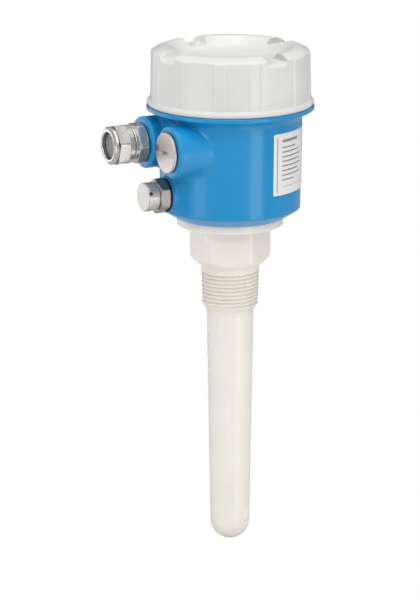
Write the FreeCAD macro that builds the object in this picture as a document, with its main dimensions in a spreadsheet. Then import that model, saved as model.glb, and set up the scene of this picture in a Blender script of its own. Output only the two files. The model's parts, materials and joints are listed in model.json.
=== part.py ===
"""Capacitive level switch: screw-lid housing, cable gland, blanking plug, vent plug and rod probe.

Millimetres, +Z up. The origin is on the probe's axis at the gauge plane of the taper pipe thread,
where the process socket ends up. The two cable entries and the vent point along -X.
"""
import FreeCAD, Part
import os
import Sketcher

DOC = FreeCAD.newDocument("level_switch")
SHEET = DOC.addObject("Spreadsheet::Sheet", "sizes")
Vector = FreeCAD.Vector
# How far a cutter runs past the face that it cuts, and a post runs into what carries it
PAST = "1"

# Driving dimensions, in millimetres and degrees
SIZES = [
    # Probe, from the gauge plane
    ("thread_gauge_radius", 16.62),
    ("thread_below_gauge", 10.7),
    ("thread_above_gauge", 11.0),
    ("thread_taper", 0.03125),
    ("thread_lead_in", 0.7),
    ("thread_pitch", 2.309),
    ("thread_depth", 1.35),
    ("rod_top_radius", 13.7),
    ("rod_tip_radius", 11.55),
    ("rod_straight_length", 129.2),
    ("rod_shoulder_height", 2.4),
    ("neck_step", 0.05),
    ("neck_height", 2.1),
    ("hex_across_flats", 41.0),
    ("hex_height", 24.6),
    ("hex_chamfer_step", 1.25),
    ("hex_chamfer_height", 4.8),
    ("hex_clock_angle", 34.0),
    ("collar_setback", 0.85),
    ("collar_height", 4.65),
    ("collar_edge", 0.6),
    ("spigot_radius", 18.0),
    ("spigot_above_nut", 1.5),
    ("probe_bore_radius", 8.2),
    ("probe_end_wall", 14.0),
    ("electrode_wall", 1.5),
    ("electrode_cap", 4.0),
    ("insulator_height", 6.0),
    ("guard_height", 36.0),
    ("guard_below_gauge", 12.0),
    ("contact_pin_radius", 1.5),
    ("o_ring_section", 1.0),
    ("o_ring_rise", 4.0),
    ("lock_nut_wall", 3.6),
    ("lock_nut_height", 6.0),
    ("lock_nut_slot", 5.0),
    ("lock_nut_slot_depth", 2.2),
    # Housing
    ("cavity_radius", 37.4),
    ("wall_thickness", 3.35),
    ("wall_draft", 0.75),
    ("wall_height", 55.5),
    ("bevel_width", 9.0),
    ("bevel_height", 5.65),
    ("shoulder_height", 2.4),
    ("lid_neck_wall", 5.6),
    ("lid_neck_height", 13.0),
    ("lid_neck_edge", 1.0),
    ("flange_reach", 5.6),
    ("flange_height", 2.6),
    ("flange_edge", 0.6),
    ("floor_thickness", 8.15),
    ("fixed_gap", 0.1),
    ("moving_gap", 0.3),
    # Entries
    ("entry_bore_radius", 10.0),
    ("entry_boss_wall", 5.0),
    ("entry_boss_reach", 7.5),
    ("entry_boss_edge", 1.6),
    ("entry_half_gap", 1.65),
    ("entry_headroom", 3.6),
    ("vent_above_floor", 8.4),
    ("vent_bore_radius", 6.0),
    ("vent_pad_margin", 0.7),
    ("vent_pad_reach", 1.65),
    # Gland
    ("gland_gasket_height", 0.7),
    ("gland_gasket_setback", 0.2),
    ("gland_thread_length", 9.0),
    ("gland_hex_land", 1.0),
    ("gland_hex_height", 6.0),
    ("gland_hex_clock_angle", 31.0),
    ("gland_hex_edge", 0.9),
    ("gland_waist_length", 2.5),
    ("gland_neck_wall", 1.5),
    ("gland_neck_length", 9.1),
    ("gland_wire_bore_radius", 6.4),
    ("gland_seat_radius", 7.7),
    ("gland_seat_depth", 8.0),
    ("seal_bore_radius", 4.5),
    ("seal_collar_setback", 0.4),
    ("seal_collar_height", 2.4),
    ("seal_nose_wall", 3.2),
    ("seal_nose_height", 1.1),
    ("thrust_ring_height", 0.7),
    ("cap_nut_wall", 1.8),
    ("cap_nut_clock_angle", 42.0),
    ("cap_nut_nose_length", 4.6),
    ("cap_nut_nose_step", 0.4),
    ("cap_nut_nose_round", 3.9),
    ("cap_nut_mouth_gap", 0.35),
    ("cap_nut_lip", 2.9),
    # Blanking plug
    ("plug_seal_height", 0.9),
    ("plug_seal_setback", 0.45),
    ("plug_head_overhang", 1.75),
    ("plug_head_height", 1.3),
    ("plug_head_edge", 0.5),
    ("plug_thread_length", 8.0),
    ("plug_slot_width", 2.0),
    ("plug_slot_depth", 0.8),
    # Vent plug
    ("vent_gasket_height", 1.0),
    ("vent_gasket_overhang", 0.8),
    ("vent_thread_length", 5.4),
    ("vent_hex_land", 3.1),
    ("vent_hex_height", 6.3),
    ("vent_hex_clock_angle", 60.0),
    ("vent_hex_edge", 0.8),
    ("vent_air_bore_radius", 2.5),
    ("vent_head_setback", 0.8),
    ("vent_head_height", 7.1),
    ("vent_head_edge", 0.6),
    ("vent_head_wall", 1.4),
    ("vent_head_plate", 0.9),
    ("vent_hole_radius", 1.15),
    ("vent_hole_height", 5.0),
    ("vent_hole_clock_angle", 20.0),
    ("membrane_height", 1.2),
    # Lid
    ("lid_gap", 0.2),
    ("bead_setback", 0.2),
    ("bead_height", 4.7),
    ("lid_wall", 2.8),
    ("lid_draft", 0.5),
    ("lid_side_height", 26.7),
    ("rib_proud", 0.6),
    ("rib_width", 6.4),
    ("rib_step_angle", 32.5),
    ("lid_clock_angle", 8.65),
    ("crown_radius", 12.0),
    ("crown_width", 6.2),
    ("crest_rise", 2.35),
    ("crest_land", 3.9),
    ("dish_slope_width", 6.8),
    ("dish_depth", 6.3),
    ("dish_wall", 3.4),
    ("notch_width", 13.0),
    ("notch_depth", 4.35),
    ("notch_corner", 1.6),
    ("lid_seal_section", 1.35),
    ("lid_seal_headroom", 0.9),
    # Electronics
    ("post_inset", 7.6),
    ("post_radius", 3.0),
    ("post_height", 9.5),
    ("insert_room", 2.4),
    ("insert_height", 14.0),
    ("insert_rim", 2.0),
    ("insert_rim_depth", 1.2),
    ("insert_screw_radius", 1.5),
    ("insert_screw_head_radius", 2.8),
    ("insert_screw_head_height", 2.0),
    ("insert_screw_bite", 6.0),
    ("terminal_pitch", 5.5),
    ("terminal_end_wall", 1.0),
    ("terminal_depth", 12.0),
    ("terminal_height", 10.5),
    ("terminal_offset", 3.0),
    ("wire_hole_radius", 1.6),
    ("wire_hole_rise", 3.4),
    ("wire_hole_depth", 6.0),
    ("terminal_screw_radius", 1.9),
    ("terminal_screw_inset", 4.0),
    ("terminal_screw_length", 4.4),
    ("terminal_well_depth", 6.0),
    ("driver_slot_width", 0.7),
    ("driver_slot_depth", 0.8),
    ("switch_length", 11.0),
    ("switch_width", 6.0),
    ("switch_height", 4.5),
    ("switch_side", 10.0),
    ("switch_back", 13.0),
    ("slider_length", 3.4),
    ("slider_width", 2.0),
    ("slider_height", 4.4),
    ("slider_travel", 3.0),
    ("slider_end_gap", 0.5),
    ("slider_slot_depth", 2.4),
    ("lamp_radius", 1.5),
    ("lamp_height", 3.2),
    ("lamp_back", 23.0),
    ("lamp_side", 4.0),
    # Inner earth terminal
    ("earth_boss_radius", 5.0),
    ("earth_boss_length", 6.0),
    ("earth_below_neck_top", 22.0),
    ("earth_plate_side", 9.0),
    ("earth_plate_thickness", 1.2),
    ("earth_screw_radius", 2.0),
    ("earth_screw_bite", 5.0),
    ("earth_head_radius", 3.7),
    ("earth_head_height", 2.6),
    # Nameplate
    ("plate_height", 36.1),
    ("plate_above_bevel", 12.6),
    ("plate_thickness", 0.25),
    ("plate_glue", 0.08),
    ("plate_left_angle", -80.0),
    ("plate_sweep_angle", 88.0),
]


def fill_sheet():
    """Write every driving dimension as a plain number with its alias."""
    for row, (alias, number) in enumerate(SIZES, start=1):
        cell = f"A{row}"
        SHEET.set(cell, str(number))
        SHEET.setAlias(cell, alias)
    DOC.recompute()


def of(alias):
    """The expression that reads one cell of the sheet."""
    return f"sizes.{alias}"


def total(*terms):
    """The expression that adds other expressions."""
    return "(" + " + ".join(terms) + ")"


def less(first, *rest):
    """The expression that takes the rest away from the first."""
    return "(" + " - ".join((first,) + rest) + ")"


def times(*terms):
    """The expression that multiplies other expressions."""
    return "(" + " * ".join(terms) + ")"


def number(expression):
    """The value of an expression as the sheet stands."""
    return float(SHEET.evalExpression(expression))


def corner_radius(apothem):
    """The corner radius of a hexagon whose flats lie this far from its axis."""
    return f"({apothem} * 2 / sqrt(3))"


def widths():
    """The radii that neighbouring pieces share, each an expression worked out from the sheet."""
    wide = {}
    thread_top = total(of("thread_gauge_radius"), times(of("thread_taper"), of("thread_above_gauge")))
    wide["neck"] = total(thread_top, of("neck_step"))
    wide["hex_chamfer"] = total(wide["neck"], of("hex_chamfer_step"))
    wide["electrode"] = less(of("probe_bore_radius"), of("fixed_gap"))
    wide["lock_nut"] = total(of("spigot_radius"), of("lock_nut_wall"))
    wide["wall_low"] = total(of("cavity_radius"), of("wall_thickness"))
    wide["wall_top"] = total(wide["wall_low"], of("wall_draft"))
    wide["bottom"] = less(wide["wall_low"], of("bevel_width"))
    wide["collar"] = less(wide["bottom"], of("collar_setback"))
    wide["lid_neck"] = total(of("cavity_radius"), of("lid_neck_wall"))
    wide["flange"] = total(wide["lid_neck"], of("flange_reach"))
    wide["bead"] = less(wide["flange"], of("bead_setback"))
    wide["lid_low"] = total(wide["lid_neck"], of("moving_gap"), of("lid_wall"))
    wide["lid_top"] = less(wide["lid_low"], of("lid_draft"))
    wide["crest"] = less(wide["lid_top"], of("crown_width"))
    wide["dish_edge"] = less(wide["crest"], of("crest_land"))
    wide["dish"] = less(wide["dish_edge"], of("dish_slope_width"))
    wide["insert"] = less(of("cavity_radius"), of("insert_room"))
    wide["post_circle"] = less(of("cavity_radius"), of("post_inset"))
    wide["entry_boss"] = total(of("entry_bore_radius"), of("entry_boss_wall"))
    wide["entry_side"] = total(wide["entry_boss"], of("entry_half_gap"))
    wide["gland_hex"] = total(of("entry_bore_radius"), of("gland_hex_land"))
    wide["gland_gasket"] = less(wide["gland_hex"], of("gland_gasket_setback"))
    wide["gland_neck"] = total(of("gland_seat_radius"), of("gland_neck_wall"))
    wide["seal_collar"] = less(wide["gland_neck"], of("seal_collar_setback"))
    wide["seal_nose"] = total(of("seal_bore_radius"), of("seal_nose_wall"))
    wide["cap_nut"] = total(wide["gland_neck"], of("cap_nut_wall"))
    wide["cap_nut_nose"] = total(wide["cap_nut"], of("cap_nut_nose_step"))
    wide["cap_nut_mouth"] = total(wide["seal_nose"], of("cap_nut_mouth_gap"))
    wide["plug_head"] = total(of("entry_bore_radius"), of("plug_head_overhang"))
    wide["plug_seal"] = less(wide["plug_head"], of("plug_seal_setback"))
    wide["vent_hex"] = total(of("vent_bore_radius"), of("vent_hex_land"))
    wide["vent_gasket"] = total(wide["vent_hex"], of("vent_gasket_overhang"))
    wide["vent_pad"] = total(wide["vent_gasket"], of("vent_pad_margin"))
    wide["vent_head"] = less(wide["vent_hex"], of("vent_head_setback"))
    return wide


# Heights along the main axis
def levels():
    """The levels that neighbouring pieces share, each an expression worked out from the sheet."""
    at = {}
    at["thread_end"] = f"(-{of('thread_below_gauge')})"
    at["rod_top"] = less(at["thread_end"], of("rod_shoulder_height"))
    at["rod_low"] = less(at["rod_top"], of("rod_straight_length"))
    at["tip"] = less(at["rod_low"], of("rod_tip_radius"))
    at["probe_bore_end"] = total(at["tip"], of("probe_end_wall"))
    at["neck_low"] = of("thread_above_gauge")
    at["hex_low"] = total(at["neck_low"], of("neck_height"))
    at["collar_low"] = total(at["hex_low"], of("hex_height"))
    at["bottom"] = total(at["collar_low"], of("collar_height"))
    at["floor"] = total(at["bottom"], of("floor_thickness"))
    at["nut_top"] = total(at["floor"], of("lock_nut_height"))
    at["spigot_top"] = total(at["nut_top"], of("spigot_above_nut"))
    at["o_ring"] = total(at["bottom"], of("o_ring_rise"))
    at["bevel_top"] = total(at["bottom"], of("bevel_height"))
    at["wall_top"] = total(at["bevel_top"], of("wall_height"))
    at["flange_low"] = total(at["wall_top"], of("shoulder_height"))
    at["flange_top"] = total(at["flange_low"], of("flange_height"))
    at["lid_neck_top"] = total(at["flange_top"], of("lid_neck_height"))
    at["entry"] = less(at["flange_low"], of("entry_headroom"), WIDE["entry_boss"])
    at["vent"] = total(at["floor"], of("vent_above_floor"))
    at["insert_low"] = total(at["floor"], of("post_height"))
    at["insert_top"] = total(at["insert_low"], of("insert_height"))
    at["deck"] = less(at["insert_top"], of("insert_rim_depth"))
    at["earth"] = less(at["lid_neck_top"], of("earth_below_neck_top"))
    at["lid_low"] = total(at["flange_top"], of("lid_gap"))
    at["bead_top"] = total(at["lid_low"], of("bead_height"))
    at["lid_side_top"] = total(at["bead_top"], of("lid_side_height"))
    at["crest"] = total(at["lid_side_top"], of("crest_rise"))
    at["dish"] = less(at["crest"], of("dish_depth"))
    at["notch"] = less(at["crest"], of("notch_depth"))
    at["lid_ceiling"] = less(at["dish"], of("dish_wall"))
    return at


fill_sheet()
WIDE = widths()
AT = levels()

# Distances along an entry's axis, counted outwards from the housing's axis
ENTRY_FACE = total(WIDE["wall_top"], of("entry_boss_reach"))
GLAND_SEAT = total(ENTRY_FACE, of("gland_gasket_height"))
GLAND_HEX_END = total(GLAND_SEAT, of("gland_hex_height"))
GLAND_NECK_END = total(GLAND_HEX_END, of("gland_neck_length"))
SEAL_FACE = total(GLAND_NECK_END, of("fixed_gap"), of("seal_collar_height"))
NUT_BACK = total(GLAND_HEX_END, of("gland_waist_length"))
NUT_LIP = total(SEAL_FACE, of("moving_gap"), of("thrust_ring_height"))
NUT_FRONT = total(NUT_LIP, of("cap_nut_lip"))
PLUG_SEAT = total(ENTRY_FACE, of("plug_seal_height"))
PLUG_FRONT = total(PLUG_SEAT, of("plug_head_height"))
VENT_FACE = total(WIDE["wall_low"], of("vent_pad_reach"))
VENT_SEAT = total(VENT_FACE, of("vent_gasket_height"))
VENT_HEX_END = total(VENT_SEAT, of("vent_hex_height"))
VENT_FRONT = total(VENT_HEX_END, of("vent_head_height"))
ENTRY_SIDES = {"gland": WIDE["entry_side"], "plug": f"(-{WIDE['entry_side']})", "vent": "0"}


# Building blocks
def bind(thing, **expressions):
    """Bind properties of an object to expressions; a double underscore stands for a dot."""
    for key, expression in expressions.items():
        thing.setExpression(key.replace("__", "."), expression)
    return thing


def draw_outline(sketch, outline):
    """Draw a closed outline of (x, y) expressions, or (x, y, radius, bulge side) for an arc to that point."""
    count = len(outline)
    spots = [Vector(number(point[0]), number(point[1]), 0) for point in outline]
    for index in range(count):
        following = (index + 1) % count
        start, end = spots[index], spots[following]
        if len(outline[following]) == 2:
            sketch.addGeometry(Part.LineSegment(start, end), False)
            continue
        radius = number(outline[following][2])
        side = outline[following][3]
        half = (end - start) * 0.5
        across = Vector(-half.y, half.x, 0).normalize() * side
        sink = max(radius ** 2 - half.Length ** 2, 0.0) ** 0.5
        middle = start + half + across * (radius - sink)
        sketch.addGeometry(Part.Arc(start, middle, end), False)
    for index in range(count):
        following = (index + 1) % count
        here = arc_end(sketch, index, spots[following])
        there = arc_end(sketch, following, spots[following])
        sketch.addConstraint(Sketcher.Constraint("Coincident", index, here, following, there))
    for index, point in enumerate(outline):
        corner = arc_end(sketch, index, spots[index])
        fix_coordinate(sketch, index, corner, "DistanceX", point[0], -2)
        fix_coordinate(sketch, index, corner, "DistanceY", point[1], -1)
        if len(point) == 4:
            before = (index - 1) % count
            rule = sketch.addConstraint(Sketcher.Constraint("Radius", before, number(point[2])))
            sketch.setExpression(f"Constraints[{rule}]", point[2])


def arc_end(sketch, index, spot):
    """Which end of a drawn line or arc lies on a spot: 1 for its start, 2 for its end."""
    start = sketch.getPoint(index, 1)
    end = sketch.getPoint(index, 2)
    return 1 if start.distanceToPoint(spot) < end.distanceToPoint(spot) else 2


def fix_coordinate(sketch, index, corner, kind, expression, axis):
    """Hold one coordinate of a corner at an expression, or on the axis where it is nought."""
    if expression == "0":
        sketch.addConstraint(Sketcher.Constraint("PointOnObject", index, corner, axis))
        return
    rule = sketch.addConstraint(Sketcher.Constraint(kind, -1, 1, index, corner, number(expression)))
    sketch.setExpression(f"Constraints[{rule}]", expression)


def profiled(name, outline):
    """A body with a sketch of the outline in its XZ plane."""
    body = DOC.addObject("PartDesign::Body", name)
    sketch = body.newObject("Sketcher::SketchObject", name + "_profile")
    plane = [feature for feature in body.Origin.OriginFeatures if feature.Role == "XZ_Plane"][0]
    sketch.AttachmentSupport = [(plane, "")]
    sketch.MapMode = "FlatFace"
    draw_outline(sketch, outline)
    return body, sketch


def turned(name, outline, sweep=None):
    """A body turned about Z from an outline of (radius, height) expressions."""
    body, sketch = profiled(name, outline)
    turn = body.newObject("PartDesign::Revolution", name + "_turn")
    turn.Profile = sketch
    turn.ReferenceAxis = (sketch, ["V_Axis"])
    turn.Angle = 360
    if sweep:
        turn.setExpression("Angle", sweep)
    return body


def extruded(name, outline, length):
    """A bar along Y from an outline of (x, height) expressions, with half of its length to each side."""
    body, sketch = profiled(name, outline)
    pad = body.newObject("PartDesign::Pad", name + "_pad")
    pad.Profile = sketch
    pad.SideType = "Symmetric"
    bind(pad, Length=length)
    return body


def rod(name, radius, low, high):
    """A plain cylinder about Z between two levels."""
    piece = DOC.addObject("Part::Cylinder", name)
    return bind(piece, Radius=radius, Height=less(high, low), Placement__Base__z=low)


def bar(name, radius, low, high):
    """A plain cylinder about Z with its ends in its own profile, so it can be laid along another axis."""
    return turned(name, [("0", low), (radius, low), (radius, high), ("0", high)])


def hexagon(name, apothem, low, high, clock):
    """A hexagonal bar about Z, its corner turned by the clock angle."""
    piece = DOC.addObject("Part::Prism", name)
    piece.Polygon = 6
    piece.Placement = FreeCAD.Placement(Vector(), FreeCAD.Rotation(Vector(0, 0, 1), number(clock)))
    bind(piece, Circumradius=corner_radius(apothem), Height=less(high, low))
    return bind(piece, Placement__Base__z=low, Placement__Rotation__Angle=clock)


def block(name, low, high):
    """A box between two corners of (x, y, z) expressions."""
    piece = DOC.addObject("Part::Box", name)
    bind(piece, Length=less(high[0], low[0]), Width=less(high[1], low[1]), Height=less(high[2], low[2]))
    return bind(piece, Placement__Base__x=low[0], Placement__Base__y=low[1], Placement__Base__z=low[2])


def cut(name, base, tool):
    """One solid with another taken away."""
    piece = DOC.addObject("Part::Cut", name)
    piece.Base = base
    piece.Tool = tool
    return piece


def fuse(name, pieces):
    """Solids joined into one."""
    piece = DOC.addObject("Part::MultiFuse", name)
    piece.Shapes = pieces
    return piece


def overlap(name, pieces):
    """What several solids have in common."""
    piece = DOC.addObject("Part::MultiCommon", name)
    piece.Shapes = pieces
    return piece


def group(name, pieces):
    """Separate solids kept together."""
    piece = DOC.addObject("Part::Compound", name)
    piece.Links = pieces
    return piece


def point_out(piece, entry):
    """Lay a piece that was made about Z along an entry's axis, which points to -X."""
    piece.Placement = FreeCAD.Placement(Vector(), FreeCAD.Rotation(Vector(0, 1, 0), -90))
    height = AT["vent"] if entry == "vent" else AT["entry"]
    bind(piece, Placement__Base__z=height)
    if entry != "vent":
        bind(piece, Placement__Base__y=ENTRY_SIDES[entry])
    return piece


def point_in(piece, height):
    """Lay a piece that was made about Z along +X at a height."""
    piece.Placement = FreeCAD.Placement(Vector(), FreeCAD.Rotation(Vector(0, 1, 0), 90))
    return bind(piece, Placement__Base__z=height)


def turn_to(piece, angle):
    """Turn a piece about Z by an angle."""
    piece.Placement = FreeCAD.Placement(Vector(), FreeCAD.Rotation(Vector(0, 0, 1), number(angle)))
    return bind(piece, Placement__Rotation__Angle=angle)


def ring(name, inner, outer, low, high):
    """A plain ring about Z."""
    return turned(name, [(inner, low), (outer, low), (outer, high), (inner, high)])


def chamfered_hexagon(name, apothem, low, high, clock, edge):
    """A hexagonal nut blank with turned chamfers at both ends."""
    outside = total(corner_radius(apothem), of("fixed_gap"))
    blank = turned(name + "_turning", [
        ("0", low),
        (apothem, low),
        (outside, total(low, edge)),
        (outside, less(high, edge)),
        (apothem, high),
        ("0", high),
    ])
    return overlap(name, [hexagon(name + "_bar", apothem, low, high, clock), blank])


def round_section_ring(name, middle, section, height):
    """An O-ring: a torus about Z."""
    piece = DOC.addObject("Part::Torus", name)
    return bind(piece, Radius1=middle, Radius2=section, Placement__Base__z=height)


# Probe
def probe_sheath():
    """The moulded probe: rod with round tip, ringed taper thread, neck, hexagon, collar and spigot."""
    def thread_radius(height):
        return total(of("thread_gauge_radius"), times(of("thread_taper"), height))

    tip_radius = of("rod_tip_radius")
    lead_in = of("thread_lead_in")
    first_crest = total(AT["thread_end"], lead_in)
    turns = int(number(less(AT["neck_low"], first_crest)) / number(of("thread_pitch")))
    ridges = []
    # Each turn is a ring: a crest on the taper, then a root half a pitch above it
    for step in range(turns):
        crest = total(first_crest, times(str(step), of("thread_pitch")))
        root = total(crest, f"({of('thread_pitch')} / 2)")
        ridges.append((thread_radius(crest), crest))
        ridges.append((less(thread_radius(root), of("thread_depth")), root))
    last_crest = total(first_crest, times(str(turns), of("thread_pitch")))
    hex_apothem = f"({of('hex_across_flats')} / 2)"
    hex_corner = corner_radius(hex_apothem)
    rod_part = turned("probe_rod", [
        ("0", AT["tip"]),
        (tip_radius, AT["rod_low"], tip_radius, -1),
        (of("rod_top_radius"), AT["rod_top"]),
        (less(thread_radius(AT["thread_end"]), lead_in), AT["thread_end"]),
        *ridges,
        (thread_radius(last_crest), last_crest),
        (thread_radius(AT["neck_low"]), AT["neck_low"]),
        (WIDE["neck"], AT["neck_low"]),
        (WIDE["neck"], AT["hex_low"]),
        ("0", AT["hex_low"]),
    ])
    hex_turning = turned("probe_hex_turning", [
        ("0", AT["hex_low"]),
        (WIDE["hex_chamfer"], AT["hex_low"]),
        (total(hex_corner, of("fixed_gap")), total(AT["hex_low"], of("hex_chamfer_height"))),
        (total(hex_corner, of("fixed_gap")), AT["collar_low"]),
        ("0", AT["collar_low"]),
    ])
    hex_bar = hexagon("probe_hex_bar", hex_apothem, AT["hex_low"], AT["collar_low"],
                      of("hex_clock_angle"))
    hex_part = overlap("probe_hex", [hex_bar, hex_turning])
    groove_low = less(AT["o_ring"], of("o_ring_section"))
    groove_high = total(AT["o_ring"], of("o_ring_section"))
    groove_radius = less(of("spigot_radius"), times("2", of("o_ring_section")), of("fixed_gap"))
    collar = turned("probe_collar", [
        ("0", AT["collar_low"]),
        (less(WIDE["collar"], of("collar_edge")), AT["collar_low"]),
        (WIDE["collar"], total(AT["collar_low"], of("collar_edge")), of("collar_edge"), -1),
        (WIDE["collar"], AT["bottom"]),
        (of("spigot_radius"), AT["bottom"]),
        (of("spigot_radius"), groove_low),
        (groove_radius, groove_low),
        (groove_radius, groove_high),
        (of("spigot_radius"), groove_high),
        (of("spigot_radius"), AT["spigot_top"]),
        ("0", AT["spigot_top"]),
    ])
    whole = fuse("probe_blank", [rod_part, hex_part, collar])
    bore = rod("probe_bore", of("probe_bore_radius"), AT["probe_bore_end"], total(AT["spigot_top"], PAST))
    return cut("probe_sheath", whole, bore)


GUARD_LOW = f"(-{of('guard_below_gauge')})"
GUARD_HIGH = total(GUARD_LOW, of("guard_height"))
ELECTRODE_TOP = less(GUARD_LOW, of("insulator_height"))


def probe_electrode():
    """The measuring electrode: a metal tube closed at its top, in the rod's bore."""
    inner = less(WIDE["electrode"], of("electrode_wall"))
    cap_low = less(ELECTRODE_TOP, of("electrode_cap"))
    return turned("probe_electrode", [
        (inner, AT["probe_bore_end"]),
        (WIDE["electrode"], AT["probe_bore_end"]),
        (WIDE["electrode"], ELECTRODE_TOP),
        ("0", ELECTRODE_TOP),
        ("0", cap_low),
        (inner, cap_low),
    ])


def electrode_insulator():
    """The spacer between the measuring electrode and the guard, with a hole for the pin."""
    hole = total(of("contact_pin_radius"), of("fixed_gap"))
    return ring("electrode_insulator", hole, WIDE["electrode"], ELECTRODE_TOP, GUARD_LOW)


def guard_electrode():
    """The guard: a short tube behind the thread that cancels build-up on the probe."""
    inner = less(WIDE["electrode"], of("electrode_wall"))
    return ring("guard_electrode", inner, WIDE["electrode"], GUARD_LOW, GUARD_HIGH)


def probe_contact_pin():
    """The lead from the measuring electrode up to the electronics."""
    return rod("probe_contact_pin", of("contact_pin_radius"), ELECTRODE_TOP, AT["insert_low"])


def probe_o_ring():
    """The seal in the spigot's groove."""
    return round_section_ring(
        "probe_o_ring", less(of("spigot_radius"), of("o_ring_section")), of("o_ring_section"), AT["o_ring"])


def probe_lock_nut():
    """The ring nut that draws the collar against the housing's floor, with four spanner slots."""
    inner = total(of("spigot_radius"), of("fixed_gap"))
    blank = ring("lock_nut_blank", inner, WIDE["lock_nut"], AT["floor"], AT["nut_top"])
    half = f"({of('lock_nut_slot')} / 2)"
    reach = total(WIDE["lock_nut"], PAST)
    bars = [
        block("lock_nut_slot_x", (f"(-{reach})", f"(-{half})", AT["floor"]), (reach, half, AT["nut_top"])),
        block("lock_nut_slot_y", (f"(-{half})", f"(-{reach})", AT["floor"]), (half, reach, AT["nut_top"])),
    ]
    core_radius = less(WIDE["lock_nut"], of("lock_nut_slot_depth"))
    core = rod("lock_nut_core", core_radius, AT["floor"], AT["nut_top"])
    slots = cut("lock_nut_slots", fuse("lock_nut_cross", bars), core)
    return cut("probe_lock_nut", blank, slots)


# Housing
def spot(angle, radius):
    """The x and y expressions of a point on a circle about the axis."""
    return f"({radius} * cos({angle}))", f"({radius} * sin({angle}))"


POST_ANGLES = ("0", "120", "240")


def upright(name, angle, radius, low, high):
    """A cylinder that stands on the insert's screw circle."""
    across, along = spot(angle, WIDE["post_circle"])
    return bind(rod(name, radius, low, high), Placement__Base__x=across, Placement__Base__y=along)


def housing():
    """The die-cast body: bevelled pot with flange, lid neck, two entry bosses, a vent pad and screw posts."""
    floor_bore = total(of("spigot_radius"), of("fixed_gap"))
    edge = of("flange_edge")
    shell = turned("housing_shell", [
        (floor_bore, AT["bottom"]),
        (WIDE["bottom"], AT["bottom"]),
        (WIDE["wall_low"], AT["bevel_top"]),
        (WIDE["wall_top"], AT["wall_top"]),
        (WIDE["flange"], AT["flange_low"]),
        (WIDE["flange"], less(AT["flange_top"], edge)),
        (less(WIDE["flange"], edge), AT["flange_top"]),
        (WIDE["lid_neck"], AT["flange_top"]),
        (WIDE["lid_neck"], less(AT["lid_neck_top"], of("lid_neck_edge"))),
        (less(WIDE["lid_neck"], of("lid_neck_edge")), AT["lid_neck_top"]),
        (of("cavity_radius"), AT["lid_neck_top"]),
        (of("cavity_radius"), AT["floor"]),
        (floor_bore, AT["floor"]),
    ])
    round_edge = of("entry_boss_edge")
    inside = f"({of('cavity_radius')} / 2)"
    boss_outline = [
        ("0", inside),
        (WIDE["entry_boss"], inside),
        (WIDE["entry_boss"], less(ENTRY_FACE, round_edge)),
        (less(WIDE["entry_boss"], round_edge), ENTRY_FACE, round_edge, -1),
        ("0", ENTRY_FACE),
    ]
    bosses = [point_out(turned(f"{entry}_boss", boss_outline), entry) for entry in ("gland", "plug")]
    bosses.append(point_out(bar("vent_pad", WIDE["vent_pad"], inside, VENT_FACE), "vent"))
    hollow = rod("cavity", of("cavity_radius"), AT["floor"], AT["lid_neck_top"])
    cast = cut("housing_cast", fuse("housing_solid", [shell] + bosses), hollow)
    outside = total(ENTRY_FACE, PAST)
    bores = [
        point_out(bar("gland_bore", of("entry_bore_radius"), inside, outside), "gland"),
        point_out(bar("plug_bore", of("entry_bore_radius"), inside, outside), "plug"),
        point_out(bar("vent_bore", of("vent_bore_radius"), inside, outside), "vent"),
    ]
    drilled = cut("housing_drilled", cast, fuse("entry_bores", bores))
    sunk = less(AT["floor"], PAST)
    posts = [
        upright(f"post_{step}", angle, of("post_radius"), sunk, AT["insert_low"])
        for step, angle in enumerate(POST_ANGLES)
    ]
    earth_low = less(of("cavity_radius"), of("earth_boss_length"))
    earth_boss = bar("earth_boss", of("earth_boss_radius"), earth_low, total(of("cavity_radius"), PAST))
    posts.append(point_in(earth_boss, AT["earth"]))
    taps = [
        upright(f"post_tap_{step}", angle, total(of("insert_screw_radius"), of("fixed_gap")),
                less(AT["insert_low"], of("insert_screw_bite"), PAST), total(AT["insert_low"], PAST))
        for step, angle in enumerate(POST_ANGLES)
    ]
    earth_tap = bar("earth_tap", total(of("earth_screw_radius"), of("fixed_gap")), less(earth_low, PAST),
                    total(earth_low, of("earth_screw_bite")))
    taps.append(point_in(earth_tap, AT["earth"]))
    return cut("housing", fuse("housing_posted", [drilled] + posts), fuse("housing_taps", taps))


def nameplate():
    """The foil plate that wraps part of the wall."""
    low = total(AT["bevel_top"], of("plate_above_bevel"))
    high = total(low, of("plate_height"))

    def wall(height):
        slope = f"(({WIDE['wall_top']} - {WIDE['wall_low']}) / {of('wall_height')})"
        return total(WIDE["wall_low"], of("plate_glue"), times(slope, less(height, AT["bevel_top"])))

    plate = turned("nameplate", [
        (wall(low), low),
        (total(wall(low), of("plate_thickness")), low),
        (total(wall(high), of("plate_thickness")), high),
        (wall(high), high),
    ], sweep=of("plate_sweep_angle"))
    return turn_to(plate, of("plate_left_angle"))


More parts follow.
